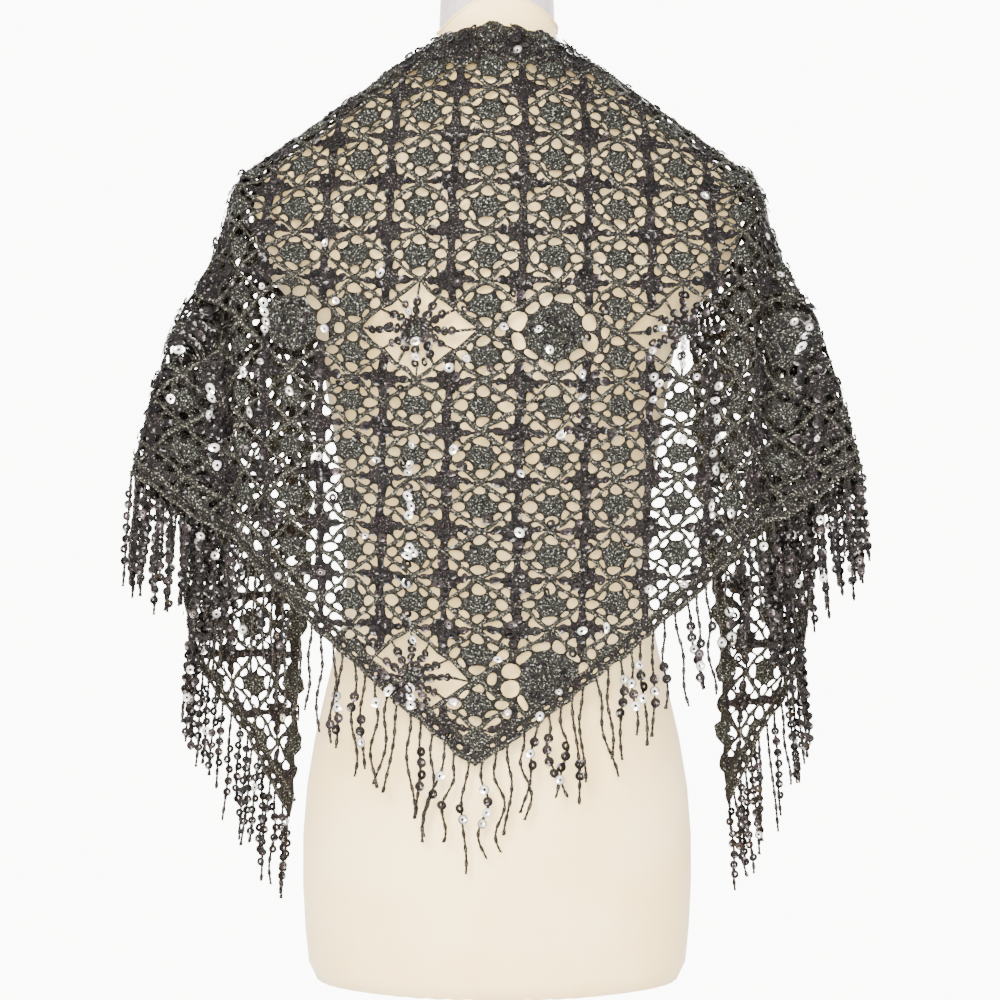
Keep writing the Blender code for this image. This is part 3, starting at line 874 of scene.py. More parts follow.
def lace_net(start, end, repeat_net):
    """The flat net of one stretch, from one line to another along the long edge."""
    margin = REPEAT_WIDTH * 0.75
    shape = bmesh.new()
    places = [(x, y) for x, y in repeats(start, end, -1)
              if hem_distance(x, y) > -margin and start - margin < x < end + margin]
    add_arrays(shape, standing(repeat_net, places))
    bmesh.ops.remove_doubles(shape, verts=shape.verts[:], dist=MERGE_DISTANCE)
    middle = (start + end) / 2
    for motif in MOTIFS:
        if abs(motif[0] - middle) < (end - start) / 2 + REPEAT_WIDTH:
            open_diamond(shape, motif)
            add_arrays(shape, standing(daisy_net if motif[2] else round_net, [motif[:2]]))
    cut(shape, (0, 0), (0, -1))
    for side in (-1, 1):
        outward = np.array([side * DEPTH, HALF_LENGTH]) / HEM_LENGTH
        cut(shape, np.array([0, DEPTH]) - outward * BORDER, outward)
    return shape


def add_edges(shape, start, end):
    """Add the borders along the short edges and the scallops of the top edge."""
    for side in (-1, 1):
        if touches(side, start, end):
            border = bmesh.new()
            add_arrays(border, copies(border_net, border_places(side)))
            bmesh.ops.remove_doubles(border, verts=border.verts[:], dist=MERGE_DISTANCE)
            cut(border, (0, 0), (-side, 0))
            cut(border, (0, 0), (0, -1))
            add_arrays(shape, take_arrays(border))
    for shift, y, half_width, half_height in SCALLOPS:
        for column in range(round(start / REPEAT_WIDTH) - 1, round(end / REPEAT_WIDTH) + 1):
            scallop = bmesh.new()
            ring = bmesh.ops.create_circle(scallop, cap_ends=True, segments=20, radius=1.0)["verts"]
            bmesh.ops.scale(scallop, verts=ring, vec=(half_width, half_height, 1.0))
            place = ((column + shift) * REPEAT_WIDTH, y, 0.0)
            bmesh.ops.translate(scallop, verts=ring, vec=place)
            cut(scallop, (0, 0), (0, 1))
            if abs(place[0]) < HALF_LENGTH - LAST_SCALLOP:
                add_arrays(shape, take_arrays(scallop))


# %% Open the holes and thicken
BAND_ALONG = (0.24, 0.33)
BAND_DEPTH = (0.035, 0.009)
HOLE_CLEAR = 0.002
NET_HALF_THICKNESS = 0.0006


def band_depth(x):
    """How deep the closed band of the top edge is at a distance along it."""
    return float(np.interp(abs(x), BAND_ALONG, BAND_DEPTH))


def open_holes(shape):
    """Open the holes that lie clear of the edges."""
    holes = []
    for face in shape.faces:
        x, y = face.calc_center_median().xy
        inner = hem_distance(x, y) > BORDER + HOLE_CLEAR and y > band_depth(x)
        eyelet = len(face.verts) == EYELET_SIDES and y > BORDER
        if (face.material_index == 1 and inner) or (face.material_index == EYELET and eyelet):
            holes.append(face)
    bmesh.ops.delete(shape, geom=holes, context="FACES")
    for face in shape.faces:
        face.material_index = 0
    bmesh.ops.triangulate(shape, faces=[face for face in shape.faces if len(face.verts) > 3])


def thicken(shape):
    """Give the flat net its thickness, half to each side."""
    made = bmesh.ops.extrude_face_region(shape, geom=shape.faces[:], use_keep_orig=True)
    lifted = [item for item in made["geom"] if isinstance(item, bmesh.types.BMVert)]
    bmesh.ops.translate(shape, verts=shape.verts[:], vec=(0, 0, -NET_HALF_THICKNESS))
    bmesh.ops.translate(shape, verts=lifted, vec=(0, 0, 2 * NET_HALF_THICKNESS))
    bmesh.ops.recalc_face_normals(shape, faces=shape.faces[:])


# %% [markdown]
# These are the five visible lengths of the lace. Each takes the place of its solid, and its yarn
# reads the flat cut, so that the speckle runs over the folds with the knit.

# %% The five stretches of lace
for name, start, end in STRETCHES:
    net = lace_net(start, end, NETS[name.split("_")[-1]])
    add_edges(net, start, end)
    cut(net, (start, 0), (-1, 0))
    cut(net, (end, 0), (1, 0))
    bmesh.ops.remove_doubles(net, verts=net.verts[:], dist=MERGE_DISTANCE)
    open_holes(net)
    thicken(net)
    flat, faces, kinds = take_arrays(net)
    piece = make_piece(
        f"{name}_lace", (worn(flat), faces, kinds), [net_yarn], flat
    )
    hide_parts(name)

# %% [markdown]
# ## What stands up from the net
#
# The knit's thicker stitches stand up from the net: the clusters of the rosettes, the petals of
# the leaf flowers, the stitches of the chains and the cords of the diamonds. Bump alone would
# leave them flat at the rims of the holes. So each is a low dome or a ridge of a few faces, which
# catches the light as a real stitch does.

# %% Domes and ridges
LIFT = NET_HALF_THICKNESS


def put_down(shape, made, matrix, kind):
    """Place the new points of a shape, and give their faces a kind of yarn."""
    bmesh.ops.transform(shape, matrix=matrix, verts=made)
    for face in {face for vertex in made for face in vertex.link_faces}:
        face.material_index = kind


def dome(shape, place, length, width, turn, height, kind, sides=8):
    """A low almond-shaped stitch. Sizes in millimetres, turn in degrees."""
    made = bmesh.ops.create_circle(
        shape, cap_ends=True, cap_tris=True, segments=sides, radius=1.0
    )["verts"]
    middle = min(made, key=lambda vertex: vertex.co.length)
    middle.co.z = 1.0
    size = Matrix.Diagonal((length / 2, width / 2, height, 1.0))
    spin = Matrix.Rotation(math.radians(turn), 4, "Z")
    put_down(shape, made, Matrix.Translation((*place, LIFT / MM)) @ spin @ size, kind)


def ridge(shape, start, end, width, height, kind, steps=8):
    """A straight raised cord between two points, in millimetres."""
    made = bmesh.ops.create_grid(shape, x_segments=steps, y_segments=2, size=0.5)["verts"]
    run = Vector(end) - Vector(start)
    for vertex in made:
        vertex.co.z = height if abs(vertex.co.y) < 0.1 else 0.0
    size = Matrix.Diagonal((run.length, width, 1.0, 1.0))
    middle = (Vector(start) + Vector(end)) / 2
    spin = Matrix.Rotation(math.atan2(run.y, run.x), 4, "Z")
    put_down(shape, made, Matrix.Translation((*middle, LIFT / MM)) @ spin @ size, kind)


def finished_template(shape):
    """A template in metres, facing up."""
    for face in shape.faces:
        face.normal_update()
    bmesh.ops.reverse_faces(shape, faces=[face for face in shape.faces if face.normal.z < 0])
    bmesh.ops.scale(shape, verts=shape.verts[:], vec=(MM, MM, MM))
    return take_arrays(shape)


def ring_of_domes(shape, radius, count, length, width, height, kind, squash=0.86):
    """Domes round a middle, pointing outwards, the first half a step round."""
    for number in range(count):
        angle = 2 * math.pi * (number + 0.5) / count
        place = (radius * math.cos(angle), radius * squash * math.sin(angle))
        dome(shape, place, length, width, math.degrees(angle), height, kind)


# %% [markdown]
# Every motif is modelled once, in millimetres round its own middle. Its faces are numbered by
# yarn: the number picks the material when the motif has been copied into a piece.

# %% Motifs of each repeat
YARN = 0
SILVER = 1
PLUM = 2


def rosette_template():
    """Eight lobes round a ring of six and a middle, a little wider than tall."""
    shape = bmesh.new()
    ring_of_domes(shape, 7.5, 8, 5.6, 4.9, 1.5, SILVER)
    ring_of_domes(shape, 3.8, 6, 4.6, 3.8, 2.0, SILVER)
    dome(shape, (0, 0), 4.0, 3.6, 0, 2.5, SILVER)
    return finished_template(shape)


def cords_template(width, depth, thickness, steps):
    """The four threads of a diamond."""
    shape = bmesh.new()
    for x, y in ((1, 1), (1, -1), (-1, 1), (-1, -1)):
        ridge(shape, (0, y * depth), (x * width, 0), thickness, 1.1, YARN, steps)
    return finished_template(shape)


def leaf_template():
    """A flower of four petals, each with a round tip, and four lobes between them."""
    shape = bmesh.new()
    for turn, reach in ((0, 14.8), (180, 14.8), (90, 9.8), (270, 9.8)):
        across = math.cos(math.radians(turn))
        up = math.sin(math.radians(turn))
        dome(shape, (reach * across, reach * up), 8.6, 6.4, turn, 1.7, PLUM, 10)
        dome(shape, (reach * across / 2, reach * up / 2), reach * 0.9, 4.4, turn, 1.5, PLUM)
    for turn in (38, 142, 218, 322):
        angle = math.radians(turn)
        dome(shape, (6.2 * math.cos(angle), 5.4 * math.sin(angle)), 6.8, 5.4, turn, 1.8, PLUM)
    dome(shape, (0, 0), 5.0, 4.6, 0, 2.6, SILVER)
    return finished_template(shape)


def chain_template():
    """Half a repeat of the chain: pairs of slanting stitches, like a plait."""
    shape = bmesh.new()
    pitch = REPEAT_DEPTH / MM / 10
    for number in range(5):
        y = (number + 0.5) * pitch - REPEAT_DEPTH / MM / 4
        for side in (-1, 1):
            dome(shape, (side * 1.5, y), 4.6, 2.8, side * 52, 1.6, PLUM, 6)
    return finished_template(shape)


# %% Large motifs, border and small scallop
def round_template():
    """The large solid motif: rounds of lumps, the outer ones like petals."""
    shape = bmesh.new()
    for radius, count, length, width in ((18.8, 12, 9.0, 8.6), (12.6, 11, 7.0, 6.4), (7.2, 7, 6.2, 5.6)):
        ring_of_domes(shape, radius, count, length, width, 2.4, SILVER, 1.0)
        ring_of_domes(shape, radius + 1.0, count, length * 0.5, width * 0.4, 3.2, PLUM, 1.0)
    ring_of_domes(shape, 2.6, 4, 4.4, 3.6, 2.6, SILVER, 1.0)
    return finished_template(shape)


def daisy_template():
    """The eye and the spokes of a large daisy."""
    shape = bmesh.new()
    ring_of_domes(shape, 4.6, 12, 4.4, 2.2, 1.2, SILVER, 1.0)
    dome(shape, (0, 0), 5.0, 5.0, 0, 1.8, SILVER)
    for number in range(SPOKES):
        angle = 2 * math.pi * number / SPOKES
        reach = diamond_reach(angle, DAISY_REACH)
        along = Vector((math.cos(angle), math.sin(angle)))
        ridge(shape, along * 6.0, along * reach, 1.6, 0.9, YARN, 6)
    return finished_template(shape)


def border_template():
    """Two cords of short stitches along one unit of the border, and the stitches between."""
    shape = bmesh.new()
    for y, width in ((-BORDER / MM - 0.4, 3.4), (-1.6, 3.6)):
        for number in range(4):
            x = (number - 1.5) * unit / 4
            dome(shape, (x, y), unit / 4 * 1.5, width, 24, 1.9, YARN, 6)
    for side in (-1, 1):
        dome(shape, (side * unit * 0.44, -6.0), 6.5, 2.2, side * 68, 1.1, PLUM, 6)
    return finished_template(shape)


def lump_template():
    """The small scallop between two rosettes: a fan of leaf stitches."""
    shape = bmesh.new()
    for turn in (-150, -90, -30, 30, 90, 150):
        angle = math.radians(turn)
        kind = SILVER if turn < 0 else PLUM
        dome(shape, (4.4 * math.cos(angle), 3.6 * math.sin(angle)), 5.4, 4.0, turn, 2.2, kind, 8)
    dome(shape, (0, 0), 4.4, 4.0, 0, 3.0, PLUM)
    return finished_template(shape)


# %% Make the templates
ROSETTE = rosette_template()
CORDS = cords_template(*half_repeat, 2.6, 8)
FRAME_CORDS = cords_template(REPEAT_WIDTH / MM, REPEAT_DEPTH / MM, 2.9, 14)
LEAF = leaf_template()
CHAIN = chain_template()
ROUND = round_template()
DAISY = daisy_template()
BORDER_STITCHES = border_template()
LUMP = lump_template()
print("faces in a rosette, leaf flower and chain:", len(ROSETTE[1]), len(LEAF[1]), len(CHAIN[1]))

# %% [markdown]
# A motif is left out where a large one has its place, and near the border. The chain runs
# between the rosettes, through the leaf flowers. The rosettes of the top row and the border
# stand over their scallops and cords.

# %% Where the motifs stand
TOP_ROW = 0.015
TOP_END = 0.012


def clear_of_large(x, y, grow):
    """Whether a flat point lies outside every large motif."""
    return not any(in_diamond(x, y, motif, grow) for motif in MOTIFS)


def owned(x, start, end):
    """Whether a stretch owns what stands at x. A line between two belongs to the middle one."""
    inner, outer = sorted((abs(start), abs(end))) if start * end > 0 else (-1.0, abs(end))
    side_matches = start * end < 0 or x * (start + end) > 0
    return side_matches and inner + NOTHING < abs(x) <= outer + NOTHING


def large_places(start, end, daisy):
    """The middles of a stretch's daisies or rounds."""
    return [(x, y) for x, y, is_daisy in MOTIFS if owned(x, start, end) and is_daisy == daisy]


def motif_places(start, end, shift, margin, grow):
    """Where a repeating motif stands in a stretch: shifted by a part of the repeat."""
    return [(x, y) for x, y in repeats(start, end, 0, shift)
            if owned(x, start, end) and hem_distance(x, y) > margin and y > TOP_ROW
            and clear_of_large(x, y, grow)]


def top_places(start, end, shift, y):
    """Places in a row along the top edge."""
    columns = range(math.floor(start / REPEAT_WIDTH) - 1, math.ceil(end / REPEAT_WIDTH) + 2)
    row = [((column + shift) * REPEAT_WIDTH, y) for column in columns]
    return [place for place in row if owned(place[0], start, end) and hem_distance(*place) > TOP_END]


DEEP_BAND = 0.02
BAND_LUMPS = ((0.0, 0.0165), (-0.25, 0.0110), (0.25, 0.0110), (-0.22, 0.0245), (0.22, 0.0245),
              (0.0, 0.0275))


def band_places(start, end):
    """Where the lumps of the deep band stand: clustered between the rosettes and leaf flowers."""
    places = [place for shift, y in BAND_LUMPS for place in top_places(start, end, shift, y)]
    return [place for place in places if band_depth(place[0]) > DEEP_BAND]


# %% [markdown]
# All that stands up in a stretch becomes one piece. Beyond the back both sides of the cloth show,
# so there the stitches are copied to the wrong side too, a little flatter. What crosses the
# border is left out, because the border has its own stitches. A motif's place is given by its
# shift in the repeat, how far from the hem it stays, and how far from a large motif.

# %% The raised stitches
APEX_INSET = 0.021
WRONG_SIDE_HEIGHT = 0.7


def wrong_side(arrays):
    """The same stitches as they show on the other side of the cloth, a little flatter."""
    points, faces, kinds = arrays
    flatter = points * np.array([1.0, 1.0, -WRONG_SIDE_HEIGHT])
    flatter[:, 2] -= LIFT * (1 - WRONG_SIDE_HEIGHT)
    return flatter, [face[::-1] for face in faces], kinds


STITCHES = {}
for name, start, end in STRETCHES:
    rounds = large_places(start, end, False)
    daisies = large_places(start, end, True)
    apex = [(0.0, DEPTH - APEX_INSET)] if name == "stole_back" else []
    parts = [
        (ROSETTE, motif_places(start, end, (0.0, 0.0), 0.006, 0.004) + apex),
        (ROSETTE, top_places(start, end, 0.0, 0.003)),
        (LUMP, top_places(start, end, 0.5, 0.003)),
        (LUMP, band_places(start, end)),
        (CORDS, motif_places(start, end, (0.0, 0.0), 0.002, 0.004)),
        (LEAF, motif_places(start, end, (0.5, 0.5), 0.006, 0.006)),
        (CHAIN, motif_places(start, end, (0.5, 0.25), 0.002, 0.0)),
        (CHAIN, motif_places(start, end, (0.5, 0.75), 0.002, 0.0)),
        (ROUND, rounds),
        (DAISY, daisies),
        (FRAME_CORDS, rounds + daisies),
    ]
    inner = joined([standing(template, places) for template, places in parts if places])
    inside = hem_distance(inner[0][:, 0], inner[0][:, 1]) > BORDER - 0.001
    keep = [face for face in range(len(inner[1])) if inside[inner[1][face]].all()]
    inner = (inner[0], [inner[1][face] for face in keep], [inner[2][face] for face in keep])
    units = [place for side in (-1, 1) if touches(side, start, end) for place in border_places(side)]
    units = [place for place in units if owned(place[0][3], start, end) and place[1][3] > BORDER / 2]
    outside = joined([inner, copies(BORDER_STITCHES, units)])
    flat, faces, kinds = outside if name == "stole_back" else joined([outside, wrong_side(outside)])
    STITCHES[name] = make_piece(
        f"{name}_stitches", (worn(flat), faces, kinds), stitch_yarns, flat
    )

# %% [markdown]
# ## Sequins
#
# The sequins are sewn on by hand: nine to a leaf flower, a row along every petal of a daisy, some
# on the rounds and down the cloth in strings, and others scattered, thickest at the nape. Some
# have come off, and the thread has let the rest tip a little. Beyond the back they are sewn to
# both sides of the cloth, because both show there. Each one is laid on the flat cloth, with a
# turn and a tilt of its own, and draped with it. Scattering them by particles would lose the rows.

# %% One sequin
SEQUIN_HOLE = 0.95
SEQUIN_RINGS = ((1.8, 0.45), (1.76, 0.25))
SEQUIN_SIDES = 10
# Painted shading of each ring of a sequin, from the hole out: a painted highlight near the hole and
# painted shade at the rim.
SEQUIN_PAINTED_SHADING = (1.3, 1.05, 0.85)


def sequin_template():
    """A cupped disc with a hole, facing up: a steep middle and a flatter rim."""
    shape = bmesh.new()
    bmesh.ops.create_circle(shape, segments=SEQUIN_SIDES, radius=SEQUIN_HOLE)
    edges = shape.edges[:]
    for grow, rise in SEQUIN_RINGS:
        made = bmesh.ops.extrude_edge_only(shape, edges=edges)["geom"]
        ring = [item for item in made if isinstance(item, bmesh.types.BMVert)]
        near = dict.fromkeys(edge for vertex in ring for edge in vertex.link_edges)
        edges = [edge for edge in near if all(vertex in ring for vertex in edge.verts)]
        bmesh.ops.scale(shape, verts=ring, vec=(grow, grow, 1.0))
        bmesh.ops.translate(shape, verts=ring, vec=(0, 0, rise))
    return finished_template(shape)


SEQUIN = sequin_template()
print("one sequin:", len(SEQUIN[1]), "faces,", round(2 * abs(SEQUIN[0]).max() / MM, 1), "mm across")

# %% Sew on a sequin
OUTSIDE = 0.0027
INSIDE = -0.0022
TILT_ROOM = 0.0015


def sewn(x, y, size, lift=OUTSIDE, tip=12.0):
    """A flat placement of a sequin, tipped a little at random. A lift below 0 is on the inside."""
    turn = random.uniform(0, 2 * math.pi)
    tilt = math.radians(random.normal(0.0, tip))
    side = 1.0 if lift > 0 else -1.0
    place = Matrix.Translation((x, y, lift + side * TILT_ROOM * abs(math.sin(tilt))))
    flip = Matrix.Rotation(tilt if lift > 0 else math.pi + tilt, 4, "X")
    return np.array(place @ Matrix.Rotation(turn, 4, "Z") @ flip @ Matrix.Scale(size, 4))


def tones(count, pearl_share):
    """The tone of each point of the sequins: mostly gunmetal, with a share of pearl, times a painted
    shading from highlight at the hole to shade at the rim.
    """
    dark = random.beta(2.0, 2.8, count) * 0.72
    pearl = random.uniform(0.82, 1.0, count)
    tone = np.where(random.uniform(size=count) < pearl_share, pearl, dark)
    return np.outer(tone, np.repeat(SEQUIN_PAINTED_SHADING, SEQUIN_SIDES)).ravel()


# %% Sequins of the leaf flowers
LEAF_SEQUINS = ((0, 0), (5, 4.4), (-5, 4.4), (5, -4.4), (-5, -4.4),
                (14.3, 0), (-14.3, 0), (0, 10.4), (0, -10.4))
LEAF_TIP = (10.0, 8.0)
LEAF_TIP_CHANCE = 0.25
LEAF_WANDER = 0.5
# Near the nape the flowers of the back carry fewer: depths, and the shares that are left there.
LEAF_FILL = ((0.10, 0.24), (0.3, 1.0))


def leaf_sequins(places, size, lifts, share):
    """The sequins of the leaf flowers, as placements, on one side of the cloth or both."""
    made = []
    for x, y in places:
        for across, up in LEAF_SEQUINS:
            at_tip = abs(across) > LEAF_TIP[0] or abs(up) > LEAF_TIP[1]
            chance = share + (LEAF_TIP_CHANCE if at_tip else 0.0)
            chance = chance * float(np.interp(y, *LEAF_FILL)) if len(lifts) == 1 else chance
            for lift in lifts:
                if random.uniform() < chance:
                    jitter = random.normal(0, LEAF_WANDER, 2)
                    at = (x + (across + jitter[0]) * MM, y + (up + jitter[1]) * MM)
                    made.append(sewn(*at, size, lift))
    return made


# %% Sequins of the large motifs
PETAL_START = 9.5
PETAL_STEP = 6.3
PETAL_REACH = 36.0
PETAL_MARGIN = 3.0
PETAL_WANDER = 0.06
PETAL_LIFT = 0.0024
ROUND_SEQUINS = 9
ROUND_TURN = 2.4
ROUND_INNER = 5.0
ROUND_SPREAD = 12.5
ROUND_LIFT = 0.0036


def round_about(x, y, radius, angle):
    """The point at a radius in millimetres and an angle from a place."""
    return (x + radius * MM * math.cos(angle), y + radius * MM * math.sin(angle))


def petal_sequins(places, size, petals):
    """A row of sequins on some of the spokes of each daisy, side by side like a petal."""
    made = []
    for x, y in places:
        for number in petals:
            angle = 2 * math.pi * (number + random.normal(0, PETAL_WANDER)) / SPOKES
            reach = min(diamond_reach(angle, DAISY_REACH) - PETAL_MARGIN, PETAL_REACH)
            reach = reach * random.uniform(0.8, 1.0)
            for radius in np.arange(PETAL_START, reach, PETAL_STEP):
                made.append(sewn(*round_about(x, y, radius, angle), size, PETAL_LIFT, 8.0))
    return made


def round_sequins(places, size):
    """A few sequins on each solid round, between its lumps."""
    made = []
    for x, y in places:
        for angle in np.arange(ROUND_SEQUINS) * ROUND_TURN:
            radius = ROUND_INNER + ROUND_SPREAD * math.sqrt(random.uniform())
            made.append(sewn(*round_about(x, y, radius, angle), size, ROUND_LIFT, 14.0))
    return made


# %% Scattered and strung sequins
SCATTER_WANDER = 0.45
SCATTER_LIFT = 0.0025
HEM_CLEAR = 0.004
RUN_STEP = 0.0068
RUN_FILL = 0.72
RUN_WANDER = 0.0016
RUN_SIZE = 1.25
RUN_LIFT = 0.0034
# Each string: its column of the lace, and the depths where it starts and ends.
RUNS = ((-1.05, 0.355, 0.505), (1.42, 0.285, 0.365), (-3.45, 0.20, 0.30), (3.6, 0.30, 0.41),
        (2.5, 0.27, 0.32), (-4.6, 0.22, 0.38), (5.2, 0.22, 0.33), (6.4, 0.14, 0.26))


def scattered_sequins(start, end, low, high, spacing, size):
    """Sequins scattered over a band of the cloth, at about one in each square of the spacing."""
    made = []
    for x in np.arange(start + spacing / 2, end, spacing):
        for y in np.arange(low + spacing / 2, high, spacing):
            at = (x + random.uniform(-SCATTER_WANDER, SCATTER_WANDER) * spacing,
                  y + random.uniform(-SCATTER_WANDER, SCATTER_WANDER) * spacing)
            if hem_distance(*at) > HEM_CLEAR and start < at[0] < end:
                made.append(sewn(*at, size, SCATTER_LIFT, 14.0))
    return made


def run_sequins(start, end):
    """Strings of sequins that hang down the cloth in a few places."""
    made = []
    for column, low, high in RUNS:
        x = column * REPEAT_WIDTH
        if owned(x, start, end):
            for y in np.arange(low, high, RUN_STEP):
                if random.uniform() < RUN_FILL:
                    made.append(sewn(x + random.normal(0, RUN_WANDER), y, RUN_SIZE, RUN_LIFT, 20.0))
    return made


# %% [markdown]
# Each group of sequins is placed, and then given its tones, with its own share of pearl. On the
# back one petal of each daisy is pearl. The groups of a stretch make one piece.

# %% The sequins of each stretch
PETALS = (0, 1, 2, 4, 5, 6, 7, 8, 9, 10, 11)
PEARL_PETALS = (3,)
BACK_SIZE = 1.2
NAPE_HALF = 0.085

SEQUINS = {}
for name, start, end in STRETCHES:
    daisies = large_places(start, end, True)
    rounds = large_places(start, end, False)
    leaves = motif_places(start, end, (0.5, 0.5), 0.020, 0.006)
    if name == "stole_back":
        groups = [
            (leaf_sequins(leaves, BACK_SIZE, (OUTSIDE,), 0.45), 0.02),
            (petal_sequins(daisies, BACK_SIZE, PETALS), 0.05),
            (petal_sequins(daisies, BACK_SIZE, PEARL_PETALS), 0.85),
            (round_sequins(rounds, 1.0), 0.15),
            (scattered_sequins(-NAPE_HALF, NAPE_HALF, 0.001, 0.031, 0.0105, 1.0), 0.06),
            (scattered_sequins(start, end, 0.001, 0.031, 0.026, 1.0), 0.03),
            (scattered_sequins(start, end, 0.22, 0.58, 0.034, BACK_SIZE), 0.3),
            (run_sequins(start, end), 0.55),
        ]
    else:
        band = min(band_depth(min(abs(start), abs(end))), 0.03)
        groups = [
            (leaf_sequins(leaves, 1.05, (OUTSIDE, INSIDE), 0.7), 0.02),
            (petal_sequins(daisies, BACK_SIZE, PETALS), 0.03),
            (petal_sequins(daisies, BACK_SIZE, PEARL_PETALS), 0.6),
            (round_sequins(rounds, 1.0), 0.2),
            (scattered_sequins(start, end, 0.001, band, 0.014, 1.0), 0.02),
            (scattered_sequins(start, end, 0.03, 0.58, 0.021, 1.0), 0.06),
            (run_sequins(start, end), 0.3),
        ]
    places = [place for group, _ in groups for place in group]
    tone = np.concatenate([tones(len(group), share) for group, share in groups])
    flat, faces, kinds = copies(SEQUIN, places)
    SEQUINS[name] = make_piece(
        f"{name}_sequins", (worn(flat), faces, kinds), [sequin_surface], flat, tone,
    )

# %% [markdown]
# ## Fringe
#
# The fringe is a bought trim: thread twisted from two plies, knotted into the border every
# 12 mm, with sequins threaded on it. Over the back only some strands carry them, one to four
# together. Over the shoulders and on the fronts they follow each other like beads. Particle hair
# could hang it too, but modelled plies show their twist and carry their sequins.

# %% One strand
STRAND_SWAY = 0.006
STRAND_DRIFT = 0.006
WAVE_SIZES = (0.001, 0.0045)
WAVE_TURNS = (4, 10)
STRAND_STEPS = 40
PLY_RADIUS = 0.00105
PLY_OFFSET = 0.00055
PLY_SIDES = 3
TWIST_PITCH = 0.0115


def strand_path(root, outward, length):
    """A hanging thread: mostly straight down, drifting outwards and a little to the side."""
    share = np.linspace(0.0, 1.0, STRAND_STEPS + 1)
    side = np.array([-outward[1], outward[0], 0.0])
    drift = random.normal(0, STRAND_DRIFT)
    wave_size = random.uniform(*WAVE_SIZES)
    wave = wave_size * np.sin(share * random.uniform(*WAVE_TURNS) + random.uniform(0, 6))
    sideways = share * drift + wave * np.minimum(share * 3.0, 1.0)
    path = root + np.outer(share * STRAND_SWAY, outward) + np.outer(sideways, side)
    path[:, 2] -= share * length
    return path


def twisted_plies(path):
    """Two plies wound round a path, as points and faces."""
    points = []
    faces = []
    length = abs(path[-1, 2] - path[0, 2])
    for ply in (0.0, math.pi):
        first = len(points)
        for step, middle in enumerate(path):
            wind = ply + 2 * math.pi * length * step / STRAND_STEPS / TWIST_PITCH
            centre = middle + PLY_OFFSET * np.array([math.cos(wind), math.sin(wind), 0.0])
            for corner in range(PLY_SIDES):
                angle = 2 * math.pi * corner / PLY_SIDES + ply
                spoke = np.array([math.cos(angle), math.sin(angle), 0.0])
                points.append(centre + PLY_RADIUS * spoke)
        for step in range(STRAND_STEPS):
            for corner in range(PLY_SIDES):
                low = first + step * PLY_SIDES
                follow = (corner + 1) % PLY_SIDES
                faces.append([low + corner, low + PLY_SIDES + corner,
                              low + PLY_SIDES + follow, low + follow])
    return np.array(points), faces, [0] * len(faces)


# %% Thread sequins on a strand
THREAD_CLEAR = 0.0016
LAST_SHARE = 0.97
FACING_WANDER = (0.3, 0.15, 0.2)


def threaded(path, positions, size):
    """Placements of the sequins on a strand at given depths below its root, turned to the back."""
    made = []
    for depth in positions:
        share = depth / abs(path[-1, 2] - path[0, 2])
        if share > LAST_SHARE:
            continue
        step = min(int(share * STRAND_STEPS), STRAND_STEPS - 1)
        part = share * STRAND_STEPS - step
        place = path[step] * (1 - part) + path[step + 1] * part
        facing = Vector((0.0, -1.0, 0.0)) + Vector(random.normal(0, FACING_WANDER))
        turn = facing.to_track_quat("Z", "Y").to_matrix().to_4x4()
        place = place + THREAD_CLEAR * np.array(facing.normalized())
        made.append(np.array(Matrix.Translation(place) @ turn @ Matrix.Scale(size, 4)))
    return made


# %% The six fringes
FRINGE_PITCH = 0.0118
STRAND_LENGTH = 0.078
STRAND_SPREAD = 0.013
THREADED_PITCH = 0.0090
ROOT_INSET = 0.0008
TOP_SEQUIN = 0.006
# Each fringe: where it starts and ends, its share of strands with sequins, the fewest and the
# most on a strand, the share of pearl ones, and their size.
FRINGES = (
    ("back", 0.0, BACK_HALF, 0.55, (1, 4), 0.30, 1.36),
    ("side", BACK_HALF, TAIL_START, 0.95, (6, 9), 0.03, 1.22),
    ("tail", TAIL_START, HALF_LENGTH, 0.92, (5, 9), 0.03, 1.22),
)
FRINGE_SIDES = (("left", -1), ("right", 1))
count = round(HEM_LENGTH / FRINGE_PITCH)
along_hem = (np.arange(count) + 0.5) / count * HALF_LENGTH
FRINGE_PIECES = []
for ending, near, far, sequin_share, (fewest, most), pearl_share, size in FRINGES:
    for side_name, side in FRINGE_SIDES:
        name = f"fringe_{side_name}_{ending}"
        strands = []
        discs = []
        for along in along_hem[(along_hem > near) & (along_hem <= far)]:
            below = DEPTH * (1 - along / HALF_LENGTH) - ROOT_INSET
            root = worn([[side * along, below, 0.0]])[0]
            outward = np.array([root[0], root[1], 0.0]) / math.hypot(root[0], root[1])
            length = STRAND_LENGTH + STRAND_SPREAD * random.uniform(-1, 1)
            path = strand_path(root, outward, length)
            strands.append(twisted_plies(path))
            if random.uniform() < sequin_share:
                number = random.integers(fewest, most + 1)
                room = length - number * THREADED_PITCH
                top = random.uniform(TOP_SEQUIN, max(TOP_SEQUIN + 0.002, room))
                discs += threaded(path, top + THREADED_PITCH * np.arange(number), size)
        threads = make_piece(f"{name}_threads", joined(strands), [thread_surface])
        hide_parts(name)
        beads = make_piece(
            f"{name}_sequins", copies(SEQUIN, discs), [sequin_surface], None,
            tones(len(discs), pearl_share),
        )
        FRINGE_PIECES += [(name, threads), (name, beads)]

# %% [markdown]
# For each stretch of lace the pieces sewn on it are gathered, and the area of the flat cloth it was cut
# from is printed.

def flat_area(start, end):
    """The flat area of a stretch of the triangle, in square metres."""
    steps = np.linspace(start, end, 401)
    depths = DEPTH * (1 - np.abs(steps) / HALF_LENGTH)
    return float(np.sum((depths[1:] + depths[:-1]) / 2 * np.diff(steps)))


